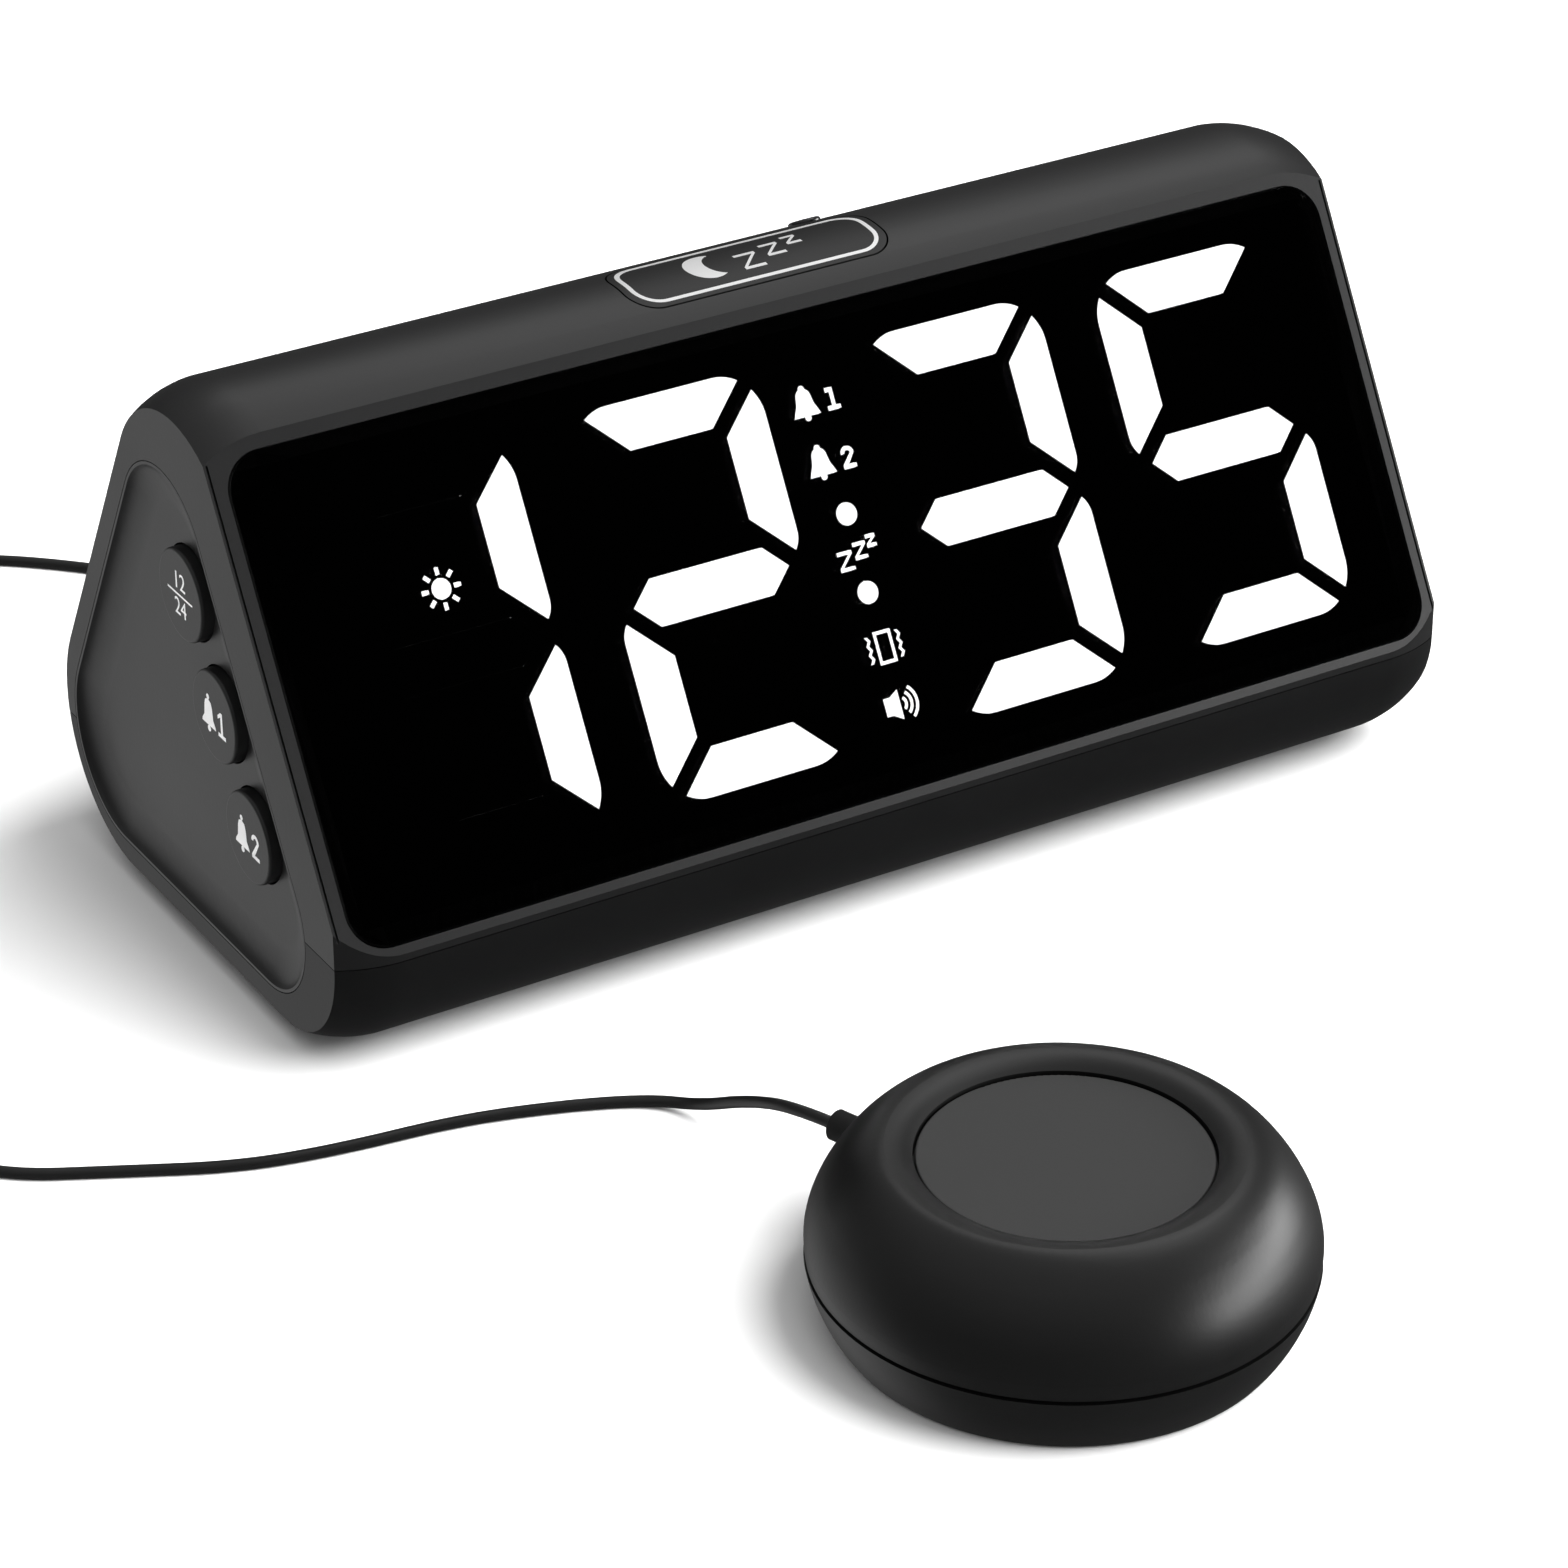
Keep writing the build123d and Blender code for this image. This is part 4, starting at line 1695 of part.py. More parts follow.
SHAKER_ROUTE = [
    SHAKER_EXIT,
    (-54.92, -35.02, 14.6),
    (-55.4, -22.9, 9.0),
    (-56.4, -11.6, 2.2),
    (-60.8, -4.9, 0.9),
    (-71.5, 0.0, 0.9),
    (-87.0, 4.9, 0.9),
    (-105.0, 7.0, 0.9),
    (-119.7, 10.4, 0.9),
    (-135.0, 18.2, 0.9),
    (-149.4, 25.6, 0.9),
    (-156.2, 36.0, 0.9),
    (-155.0, 48.0, 0.9),
    (-150.0, 58.6, 0.9),
    (-146.475, 69.6, 0.9),
    COIL_START,
]
CLOCK_ROUTE = [
    COIL_END,
    (-145.125, 92.0, 8.4),
    (-144.3, 105.0, 4.2),
    (-141.5, 122.0, 0.9),
    (-136.0, 147.0, 0.9),
    (-127.5, 172.0, 0.9),
    (-113.0, 195.5, 0.9),
    (-93.0, 207.8, 0.9),
    (-76.0, 202.8, 0.9),
    (-66.3, 195.5, 0.9),
    (-55.0, 184.0, 0.9),
    (-46.5, 171.0, 0.9),
    (-40.8, 158.0, 0.9),
    from_plug(-3.8, 22.03, -39.56),
    from_plug(-2.0, 16.63, -27.56),
    from_plug(-1.0, 14.33, -14.06),
    from_plug(-0.3, 13.73, -2.66),
    from_plug(0, 10.23, 1.54),
    from_plug(0, 4.84, 2.62),
    PLUG_END,
]


def cord_plug():
    shoulder = CORD_PLUG_LENGTH
    body = rear_rod(JACK_SHIFT, 0, -shoulder, 0, CORD_PLUG_RADIUS)
    start = REAR * Pos(JACK_SHIFT, 0, shoulder + CORD_PLUG_TAPER / 2)
    body += start * Cone(CORD_PLUG_RADIUS - PLUG_STEP, CORD_PLUG_END_RADIUS, CORD_PLUG_TAPER)
    body += rear_rod(JACK_SHIFT, 0, 0, CORD_PLUG_TIP, CORD_PLUG_TIP_RADIUS)
    return body


# The finished pieces, each under its own name
def digits():
    return {"digit_" + name: lit_digit(DIGIT_X[name], lit) for name, lit in LIT.items()}


def build():
    blank = body_blank()
    skin = upper_skin(blank)
    core = prism(body_section(END_RUN - END_X, WALL / 2), BODY_LENGTH - 2 * END_RUN)
    parts = {
        "upper_shell": upper_shell(skin, core),
        "base_shell": base_shell(skin),
        "end_panel_left": end_panel(-1),
        "end_panel_right": end_panel(1),
        "display_lens": lens(),
        "display_mask": display_mask(),
        "indicator_icons": indicator_icons(),
        "day_mark": day_mark(),
        "unlit_segments": light_guide(),
        "led_board": led_board(),
        "display_screws": display_screws(),
        "snooze_bar": snooze_bar(blank),
        "snooze_board": snooze_board(),
        "snooze_board_screws": snooze_screws(),
        "light_sensor": light_sensor(),
        "left_key_board": key_board(-1),
        "right_key_board": key_board(1),
        "key_board_screws": key_screws(),
        "rear_board": rear_board(),
        "rear_board_screws": rear_board_screws(),
        "dc_inlet": dc_inlet(),
        "usb_port": usb_port(),
        "shaker_jack": shaker_jack(),
        "dimmer_switch": dimmer_switch(),
        "dimmer_knob": dimmer_knob(),
        "speaker": speaker(),
        "main_board": main_board(),
        "main_board_screws": main_board_screws(),
        "coin_cell": coin_cell(),
        "coin_cell_holder": coin_cell_holder(),
        "battery_door": battery_door(),
        "battery_door_screw": battery_door_screw(),
        "base_screws": base_screws(),
        "rubber_feet": rubber_feet(),
        "shaker_upper_shell": shaker_upper_shell(),
        "shaker_base_shell": shaker_base_shell(),
        "shaker_top_disc": shaker_top_disc(),
        "shaker_motor": shaker_motor(),
        "motor_shaft": motor_shaft(),
        "eccentric_weight": eccentric_weight(),
        "motor_bracket": motor_bracket(),
        "motor_bracket_screws": motor_bracket_screws(),
        "shaker_screws": shaker_screws(),
        "shaker_foot_ring": shaker_foot_ring(),
        "shaker_strain_relief": shaker_strain_relief(),
        "cord_plug": cord_plug(),
        "cord_shaker_run": free_run("shaker run", SHAKER_ROUTE),
        "cord_clock_run": free_run("clock run", CLOCK_ROUTE),
        "cord_coil": coil(),
    }
    for name, side, place in KEYS:
        parts[name] = side_key(side, place)
    parts.update(digits())
    return parts


os.makedirs("parts", exist_ok=True)
for name, shape in build().items():
    export_step(shape, f"parts/{name}.step")
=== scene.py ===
# Looks, light and camera for the bed shaker alarm clock. Lengths here are in millimetres
# until they reach Blender, which works in metres.
from math import atan2, cos, pi, radians, sin, sqrt

import bmesh
import bpy
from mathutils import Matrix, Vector


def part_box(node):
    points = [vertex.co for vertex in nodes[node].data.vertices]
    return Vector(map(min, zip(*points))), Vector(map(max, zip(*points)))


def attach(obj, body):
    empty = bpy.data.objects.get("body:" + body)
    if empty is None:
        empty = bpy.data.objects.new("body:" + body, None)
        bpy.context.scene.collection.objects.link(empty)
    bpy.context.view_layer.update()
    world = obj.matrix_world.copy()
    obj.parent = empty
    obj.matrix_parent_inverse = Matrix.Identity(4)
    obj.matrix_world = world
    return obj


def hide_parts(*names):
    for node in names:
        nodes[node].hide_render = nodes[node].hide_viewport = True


MM = 0.001
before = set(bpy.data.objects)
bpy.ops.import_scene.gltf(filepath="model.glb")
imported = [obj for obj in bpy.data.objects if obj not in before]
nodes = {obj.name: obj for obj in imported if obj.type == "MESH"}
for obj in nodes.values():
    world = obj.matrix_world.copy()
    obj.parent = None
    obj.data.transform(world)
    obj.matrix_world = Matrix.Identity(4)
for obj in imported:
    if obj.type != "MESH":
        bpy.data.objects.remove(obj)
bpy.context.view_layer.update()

# Places on the clock, from the part's own dimensions
FACE_TILT = radians(30.47)
FACE_UP = Vector((0, sin(FACE_TILT), cos(FACE_TILT)))
FACE_OUT = Vector((0, -cos(FACE_TILT), sin(FACE_TILT)))
FACE_CENTRE = Vector((0, 38.201, 55.771))
TOP_CENTRE = Vector((0, 68.931, 72.126))
TOP_RADIUS = 20.42

# Materials: pattern scales to the metre, the grain's height in metres, and how far shade and
# gloss drift over a surface
GRAIN_SCALE = 1400
GRAIN_DETAIL = 2
GRAIN_HEIGHT = 0.00002
GRAIN_STRENGTH = 0.5
DRIFT_SCALE = 35
DRIFT_DETAIL = 3
METAL_SCALE = 900
HAZE_SCALE = 60
RAMP_ENDS = (0.35, 0.65)
SHADE_DRIFT = 0.06
GLOSS_DRIFT = 0.03
METAL_SHADE_DRIFT = 0.1
METAL_GLOSS_DRIFT = 0.06
HAZE_DRIFT = 0.01


def socket(node, name, value):
    node.inputs[name].default_value = value


def new_material(name):
    material = bpy.data.materials.new(name)
    material.use_nodes = True
    tree = material.node_tree
    shader = tree.nodes["Principled BSDF"]
    return material, tree, shader


def noise(tree, scale, detail):
    """A pattern fixed to the piece."""
    coords = tree.nodes.new("ShaderNodeTexCoord")
    node = tree.nodes.new("ShaderNodeTexNoise")
    socket(node, "Scale", scale)
    socket(node, "Detail", detail)
    tree.links.new(coords.outputs["Object"], node.inputs["Vector"])
    return node.outputs["Fac"]


def spread(tree, source, low, high):
    """A number that the noise moves between two values."""
    node = tree.nodes.new("ShaderNodeMapRange")
    socket(node, "To Min", low)
    socket(node, "To Max", high)
    tree.links.new(source, node.inputs["Value"])
    return node.outputs["Result"]


def tinted(tree, source, dark, light):
    """A colour that the noise moves between two shades."""
    ramp = tree.nodes.new("ShaderNodeValToRGB")
    for element, shade, position in zip(ramp.color_ramp.elements, (dark, light), RAMP_ENDS):
        element.color = (*shade, 1)
        element.position = position
    tree.links.new(source, ramp.inputs["Fac"])
    return ramp.outputs["Color"]


def scaled(shade, factor):
    return tuple(value * factor for value in shade)


def drifting(tree, shader, source, dark, light, roughness, drift):
    """Shade and gloss, both moved by the same noise."""
    gloss = spread(tree, source, roughness - drift, roughness + drift)
    tree.links.new(tinted(tree, source, dark, light), shader.inputs["Base Color"])
    tree.links.new(gloss, shader.inputs["Roughness"])


def moulded(name, shade, roughness, grain=GRAIN_HEIGHT, size=GRAIN_SCALE, specular=0.5):
    """Moulded plastic, rubber or card: a fine grain, and a gloss that drifts a little."""
    material, tree, shader = new_material(name)
    fine = noise(tree, size, GRAIN_DETAIL)
    broad = noise(tree, DRIFT_SCALE, DRIFT_DETAIL)
    dark = scaled(shade, 1 - SHADE_DRIFT)
    light = scaled(shade, 1 + SHADE_DRIFT)
    drifting(tree, shader, broad, dark, light, roughness, GLOSS_DRIFT)
    bump = tree.nodes.new("ShaderNodeBump")
    socket(bump, "Strength", GRAIN_STRENGTH)
    socket(bump, "Distance", grain)
    tree.links.new(fine, bump.inputs["Height"])
    tree.links.new(bump.outputs["Normal"], shader.inputs["Normal"])
    socket(shader, "Specular IOR Level", specular)
    return material


def metal(name, shade, roughness):
    """Bare metal, whose shade and gloss vary finely."""
    material, tree, shader = new_material(name)
    grain = noise(tree, METAL_SCALE, GRAIN_DETAIL)
    dark = scaled(shade, 1 - METAL_SHADE_DRIFT)
    drifting(tree, shader, grain, dark, shade, roughness, METAL_GLOSS_DRIFT)
    socket(shader, "Metallic", 1)
    return material


def glowing(name, shade, roughness, strength):
    """A lit light guide: white plastic with an even glow of its own."""
    material = moulded(name, shade, roughness)
    shader = material.node_tree.nodes["Principled BSDF"]
    socket(shader, "Emission Color", (1, 1, 1, 1))
    socket(shader, "Emission Strength", strength)
    return material


def clear(name, shade, roughness, bend):
    """Clear or smoked plastic, with a faint haze."""
    material, tree, shader = new_material(name)
    haze = noise(tree, HAZE_SCALE, GRAIN_DETAIL)
    gloss = spread(tree, haze, roughness, roughness + HAZE_DRIFT)
    socket(shader, "Base Color", (*shade, 1))
    socket(shader, "Transmission Weight", 1)
    socket(shader, "IOR", bend)
    tree.links.new(gloss, shader.inputs["Roughness"])
    return material


case_black = moulded("case_black", (0.008, 0.008, 0.0083), 0.4, specular=0.36)
# The base's plastic: the case plastic made darker and less glossy, as painted shade on the base
base_painted_shade = moulded("base_painted_shade", (0.005, 0.005, 0.0052), 0.42, specular=0.22)
panel_black = moulded("panel_black", (0.011, 0.011, 0.0113), 0.42, specular=0.48)
key_black = moulded("key_black", (0.010, 0.010, 0.0103), 0.42, specular=0.45)
snooze_black = moulded("snooze_black", (0.007, 0.007, 0.0073), 0.45, specular=0.32)
shaker_black = moulded("shaker_black", (0.006, 0.006, 0.006), 0.4, specular=0.4)
disc_black = moulded("disc_black", (0.028, 0.028, 0.028), 0.5, specular=0.55)
acrylic = clear("smoked_acrylic", (0.1, 0.1, 0.1), 0.0, 1.49)
mask_black = moulded("mask_black", (0.002, 0.002, 0.002), 0.7, specular=0.05)
lit_white = glowing("lit_white", (0.9, 0.9, 0.9), 0.5, 14.0)
unlit_black = moulded("unlit_black", (0.002, 0.002, 0.002), 0.8, specular=0.05)
board_green = moulded("board_green", (0.015, 0.09, 0.035), 0.4, size=300)
parts_black = moulded("parts_black", (0.02, 0.02, 0.022), 0.5)
screw_steel = metal("screw_steel", (0.42, 0.42, 0.43), 0.3)
jack_metal = metal("jack_metal", (0.6, 0.6, 0.62), 0.28)
sensor_clear = moulded("sensor_window", (0.012, 0.012, 0.014), 0.2)
rubber_black = moulded("rubber_black", (0.010, 0.010, 0.010), 0.7, grain=0.00004, specular=0.3)
paper_black = moulded("paper_black", (0.03, 0.03, 0.03), 0.8, grain=0.00008)
cell_steel = metal("cell_steel", (0.7, 0.7, 0.71), 0.25)
motor_steel = metal("motor_steel", (0.6, 0.6, 0.6), 0.3)
brass = metal("brass", (0.75, 0.55, 0.25), 0.32)
cord_black = moulded("cord_black", (0.010, 0.010, 0.010), 0.45, size=600, specular=0.4)
print_white = moulded("print_white", (0.94, 0.94, 0.94), 0.5)

# What each piece is made of. The base and battery door take a darker copy of the case plastic,
# as painted shade. A piece that isn't named here is a set of screws, or a cord run that the
# free cord replaces.
FINISH = {
    "upper_shell": case_black,
    # The base and battery door wear the darker copy of the case plastic: painted shade
    "base_shell": base_painted_shade,
    "end_panel_left": panel_black,
    "end_panel_right": panel_black,
    "display_lens": acrylic,
    "display_mask": mask_black,
    "indicator_icons": lit_white,
    "day_mark": lit_white,
    "unlit_segments": unlit_black,
    "led_board": board_green,
    "snooze_bar": snooze_black,
    "snooze_board": board_green,
    "light_sensor": sensor_clear,
    "left_key_board": board_green,
    "right_key_board": board_green,
    "rear_board": board_green,
    "dc_inlet": parts_black,
    "usb_port": jack_metal,
    "shaker_jack": parts_black,
    "dimmer_switch": parts_black,
    "dimmer_knob": key_black,
    "speaker": paper_black,
    "main_board": board_green,
    "coin_cell": cell_steel,
    "coin_cell_holder": parts_black,
    "battery_door": base_painted_shade,
    "rubber_feet": rubber_black,
    "shaker_upper_shell": shaker_black,
    "shaker_base_shell": shaker_black,
    "shaker_top_disc": disc_black,
    "shaker_motor": motor_steel,
    "motor_shaft": screw_steel,
    "eccentric_weight": brass,
    "motor_bracket": motor_steel,
    "shaker_foot_ring": rubber_black,
    "shaker_strain_relief": rubber_black,
    "cord_plug": rubber_black,
    "set_key": key_black,
    "alarm_1_key": key_black,
    "alarm_2_key": key_black,
    "up_key": key_black,
    "down_key": key_black,
    "mode_key": key_black,
    "digit_hours_tens": lit_white,
    "digit_hours_ones": lit_white,
    "digit_minutes_tens": lit_white,
    "digit_minutes_ones": lit_white,
}


def dress(piece, material):
    if not piece.material_slots:
        piece.data.materials.append(material)
    for slot in piece.material_slots:
        slot.material = material


for name, piece in nodes.items():
    dress(piece, FINISH.get(name, screw_steel))


# The free cord: the part's own route, point by point
CORD_DIAMETER = 1.8
COIL_CENTRE = (-162.0, 81.0)
COIL_OUTER = 16.875
COIL_HALF_STEP = 1.35
COIL_LAYER_RISE = 2.5
COIL_LAYERS = 4
COIL_HALF_TURNS = 10
COIL_POINTS = 8
CORD_SIDE_STEPS = 5
CORD_POINT_STEPS = 8
CORD_ORDER = 3
SHAKER_ROUTE = [
    (-51.42, -44.66, 14.6),
    (-54.92, -35.02, 14.6),
    (-55.4, -22.9, 9.0),
    (-56.4, -11.6, 2.2),
    (-60.8, -4.9, 0.9),
    (-71.5, 0.0, 0.9),
    (-87.0, 4.9, 0.9),
    (-105.0, 7.0, 0.9),
    (-119.7, 10.4, 0.9),
    (-135.0, 18.2, 0.9),
    (-149.4, 25.6, 0.9),
    (-156.2, 36.0, 0.9),
    (-155.0, 48.0, 0.9),
    (-150.0, 58.6, 0.9),
    (-146.475, 69.6, 0.9),
    (-146.475, 79.2, 0.9),
]
CLOCK_ROUTE = [
    (-145.125, 82.8, 8.4),
    (-145.125, 92.0, 8.4),
    (-144.3, 105.0, 4.2),
    (-141.5, 122.0, 0.9),
    (-136.0, 147.0, 0.9),
    (-127.5, 172.0, 0.9),
    (-113.0, 195.5, 0.9),
    (-93.0, 207.8, 0.9),
    (-76.0, 202.8, 0.9),
    (-66.3, 195.5, 0.9),
    (-55.0, 184.0, 0.9),
    (-46.5, 171.0, 0.9),
    (-40.8, 158.0, 0.9),
    (-37.8, 149.0, 6.0),
    (-36.0, 143.6, 18.0),
    (-35.0, 141.3, 31.5),
    (-34.3, 140.7, 42.9),
    (-34.0, 137.2, 47.1),
    (-34.0, 131.81, 48.18),
    (-34.0, 126.97, 45.56),
]


def coil_stations():
    """Radius and height at each half turn: in, up, out, up, in, up, out."""
    stations = []
    for layer in range(COIL_LAYERS):
        height = CORD_DIAMETER / 2 + layer * COIL_LAYER_RISE
        for count in range(COIL_HALF_TURNS):
            shrink = count if layer % 2 == 0 else COIL_HALF_TURNS - 1 - count
            stations.append((COIL_OUTER - shrink * COIL_HALF_STEP, height))
    return stations[1:]


def coil_route():
    points = []
    stations = coil_stations()
    swell = 1 / cos(pi / (2 * COIL_POINTS))
    for count in range(len(stations) - 1):
        radius, height = stations[count]
        radius_end, height_end = stations[count + 1]
        side = 1 if count % 2 == 0 else -1
        middle = COIL_CENTRE[0] + side * (radius - radius_end) / 2
        reach = (radius + radius_end) / 2 * swell
        for i in range(COIL_POINTS):
            share = i / COIL_POINTS
            turn = pi * (count + share)
            x = middle + reach * cos(turn)
            y = COIL_CENTRE[1] + reach * sin(turn)
            points.append((x, y, height + (height_end - height) * share))
    return points


def make_cord():
    curve = bpy.data.curves.new("free_cord", "CURVE")
    curve.dimensions = "3D"
    curve.bevel_depth = CORD_DIAMETER / 2 * MM
    curve.bevel_resolution = CORD_SIDE_STEPS
    curve.resolution_u = CORD_POINT_STEPS
    curve.use_fill_caps = True
    route = SHAKER_ROUTE + coil_route() + CLOCK_ROUTE
    spline = curve.splines.new("NURBS")
    spline.points.add(len(route) - 1)
    for point, spot in zip(spline.points, route):
        point.co = (*(value * MM for value in spot), 1)
    spline.order_u = CORD_ORDER
    spline.use_endpoint_u = True
    cord = bpy.data.objects.new("free_cord", curve)
    bpy.context.collection.objects.link(cord)
    curve.materials.append(cord_black)
    return cord


cord = make_cord()
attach(cord, "case")
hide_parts("cord_shaker_run", "cord_coil", "cord_clock_run")


# Printed marks are drawn as slabs, in millimetres. A slab's two sides are then laid just under
# and just over a surface.
SLAB_HALF = 0.5
PRINT_LOW = -0.02
PRINT_HIGH = 0.03
WHOLE_TURN = 2 * pi
CORNER_STEPS = 10
SMALL_ROUND_STEPS = 16
MOON_STEPS = 40


def ring_points(width, height, radius):
    """A rounded rectangle, corner by corner."""
    points = []
    for i, (across, up) in enumerate(((1, 1), (-1, 1), (-1, -1), (1, -1))):
        for k in range(CORNER_STEPS + 1):
            turn = pi / 2 * (i + k / CORNER_STEPS)
            x = across * (width / 2 - radius) + radius * cos(turn)
            y = up * (height / 2 - radius) + radius * sin(turn)
            points.append((x, y))
    return points


def dense(points, pitch):
    """The same outline with a point at least every pitch."""
    out = []
    for i, (x, y) in enumerate(points):
        to_x, to_y = points[(i + 1) % len(points)]
        count = max(1, round(sqrt((to_x - x) ** 2 + (to_y - y) ** 2) / pitch))
        for k in range(count):
            out.append((x + (to_x - x) * k / count, y + (to_y - y) * k / count))
    return out


def round_points(x, y, radius, steps, start=0.0, end=WHOLE_TURN):
    """A circle, or an arc with both of its ends."""
    count = steps if end - start >= WHOLE_TURN else steps + 1
    turns = [start + (end - start) * k / steps for k in range(count)]
    return [(x + radius * cos(turn), y + radius * sin(turn)) for turn in turns]


def outline_mesh(outlines):
    curve = bpy.data.curves.new("print", "CURVE")
    curve.dimensions = "2D"
    curve.fill_mode = "BOTH"
    curve.extrude = SLAB_HALF
    for outline in outlines:
        spline = curve.splines.new("POLY")
        spline.points.add(len(outline) - 1)
        for point, (x, y) in zip(spline.points, outline):
            point.co = (x, y, 0, 1)
        spline.use_cyclic_u = True
    return converted(curve)


def text_mesh(words, size, y):
    curve = bpy.data.curves.new("print", "FONT")
    curve.body = words
    curve.size = size
    curve.align_x = "CENTER"
    curve.align_y = "CENTER"
    curve.offset_y = y
    curve.extrude = SLAB_HALF
    return converted(curve)


def converted(curve):
    holder = bpy.data.objects.new("print", curve)
    bpy.context.collection.objects.link(holder)
    bpy.context.view_layer.update()
    ready = holder.evaluated_get(bpy.context.evaluated_depsgraph_get())
    mesh = bpy.data.meshes.new_from_object(ready)
    bpy.data.objects.remove(holder)
    bpy.data.curves.remove(curve)
    return mesh


def cut_across(shape, pitch, low, high):
    """Rows of cuts, so that a mark can follow a rounded surface."""
    row = low
    while row < high:
        parts = shape.verts[:] + shape.edges[:] + shape.faces[:]
        bmesh.ops.bisect_plane(shape, geom=parts, plane_co=(0, row, 0), plane_no=(0, 1, 0))
        row += pitch


def printed(name, meshes, place, body, rows=None):
    """Joins drawn marks into one piece on a surface: place gives a point of it and its normal."""
    shape = bmesh.new()
    for mesh in meshes:
        shape.from_mesh(mesh)
        bpy.data.meshes.remove(mesh)
    if rows:
        cut_across(shape, *rows)
    for vert in shape.verts:
        x, y, z = vert.co
        spot, normal = place(x, y)
        lift = PRINT_HIGH if z > 0 else PRINT_LOW
        vert.co = (spot + normal * lift) * MM
    bmesh.ops.recalc_face_normals(shape, faces=shape.faces)
    mesh = bpy.data.meshes.new(name)
    shape.to_mesh(mesh)
    shape.free()
    mesh.materials.append(print_white)
    piece = bpy.data.objects.new(name, mesh)
    bpy.context.collection.objects.link(piece)
    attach(piece, body)


def flat_place(origin, across, up):
    normal = across.cross(up)

    def place(x, y):
        return origin + across * x + up * y, normal

    return place


def top_place(x_middle, lean_middle):
    """On the rounded top: x along the clock, y round the top towards the back."""

    def place(x, y):
        lean = radians(lean_middle) + y / TOP_RADIUS
        normal = Vector((0, sin(lean), cos(lean)))
        spot = TOP_CENTRE + normal * TOP_RADIUS
        return Vector((x_middle + x, spot.y, spot.z)), normal

    return place


# Key marks. The keys stand in a row along the display's slope, a set depth behind it.
KEY_PITCH = 18.45
KEY_ROW_RISE = 1.0
KEY_DEPTH = 22.3
# Each key with its body, its end of the clock and its place in the row
KEYS = (
    ("set_key", "set_button", -1, 1),
    ("alarm_1_key", "alarm_1_button", -1, 0),
    ("alarm_2_key", "alarm_2_button", -1, -1),
    ("up_key", "up_button", 1, 1),
    ("down_key", "down_button", 1, 0),
    ("mode_key", "mode_button", 1, -1),
)
HOURS_SIZE = 4.0
HOURS_RISE = 2.2
HOURS_RULE = (8.2, 0.32)
# Half a bell from its rim up, its dome, and its clapper and knob as height and radius, all in
# parts of the bell's half width and height
BELL_SIDE = ((-1.0, -0.34), (-0.94, -0.26), (-0.64, -0.12), (-0.54, 0.18))
BELL_DOME = ((-0.4, 0.31), (0.0, 0.37), (0.4, 0.31))
BELL_ROUNDS = ((-0.42, 0.08), (0.43, 0.07))
BELL_SPOT = (-1.7, 0.0)
BELL_SIZE = (4.5, 6.3)
NUMERAL_SPOT = (2.6, -0.3)
NUMERAL_SIZE = (2.4, 4.2)
NUMERAL_STROKE = 0.62
# In strokes: how far down the 1's flag starts and ends, and where the 2's neck meets its foot
FLAG_DROP = 1.2
FLAG_END = 2.2
NECK_RUN = 1.5
ARROW_HALF_WIDTH = 2.4
ARROW_FOOT = 1.5
ARROW_TIP = 2.4
MENU_BAR = (5.4, 0.7)
MENU_PITCH = 1.9


def bell_outlines(x, y, width, height):
    """A bell's body, its clapper and its knob."""
    outline = BELL_SIDE + BELL_DOME + tuple((-across, up) for across, up in reversed(BELL_SIDE))
    outlines = [[(x + across * width / 2, y + up * height) for across, up in outline]]
    for up, radius in BELL_ROUNDS:
        outlines.append(round_points(x, y + up * height, radius * height, SMALL_ROUND_STEPS))
    return outlines


def numeral_outline(digit, x, y, width, height, stroke):
    """A 1 with flag and foot, or a round-shouldered 2."""
    w = width / 2
    h = height / 2
    s = stroke
    if digit == 1:
        half = s / 2
        shape = [(-w, -h), (w, -h), (w, s - h), (half, s - h), (half, h), (-half, h)]
        shape += [(-w, h - FLAG_DROP * s), (-w, h - FLAG_END * s), (-half, h - FLAG_DROP * s)]
        shape += [(-half, s - h), (-w, s - h)]
    else:
        shape = round_points(0, h - w, w, SMALL_ROUND_STEPS, 0, pi)
        shape += round_points(0, h - w, w - s, SMALL_ROUND_STEPS, 0, pi)[::-1]
        shape += [(-w, s - h), (-w, -h), (w, -h), (w, s - h), (NECK_RUN * s - w, s - h)]
    return [(x + across, y + up) for across, up in shape]


def bar(y, width, height):
    w = width / 2
    h = height / 2
    return [(-w, y - h), (w, y - h), (w, y + h), (-w, y + h)]


def hours_mark():
    """12 over 24, with a rule between them."""
    return [
        text_mesh("12", HOURS_SIZE, HOURS_RISE),
        outline_mesh([bar(0, *HOURS_RULE)]),
        text_mesh("24", HOURS_SIZE, -HOURS_RISE),
    ]


def alarm_mark(digit):
    numeral = numeral_outline(digit, *NUMERAL_SPOT, *NUMERAL_SIZE, NUMERAL_STROKE)
    return [outline_mesh(bell_outlines(*BELL_SPOT, *BELL_SIZE) + [numeral])]


def arrow_mark(up):
    """An arrow head that points up, or down with up at -1."""
    foot = -ARROW_FOOT * up
    points = [(-ARROW_HALF_WIDTH, foot), (ARROW_HALF_WIDTH, foot), (0, ARROW_TIP * up)]
    return [outline_mesh([points])]


def menu_mark():
    return [outline_mesh([bar(y, *MENU_BAR) for y in (MENU_PITCH, 0, -MENU_PITCH)])]


def key_place(name, side, row):
    """The middle of a key's outer face, with the mark's own left and right as seen from outside."""
    low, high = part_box(name)
    out = side * max(abs(low[0]), abs(high[0])) / MM
    centre = FACE_CENTRE + FACE_UP * (KEY_ROW_RISE + row * KEY_PITCH) - FACE_OUT * KEY_DEPTH
    origin = Vector((out, centre.y, centre.z))
    return flat_place(origin, Vector((0, side, 0)), Vector((0, 0, 1)))


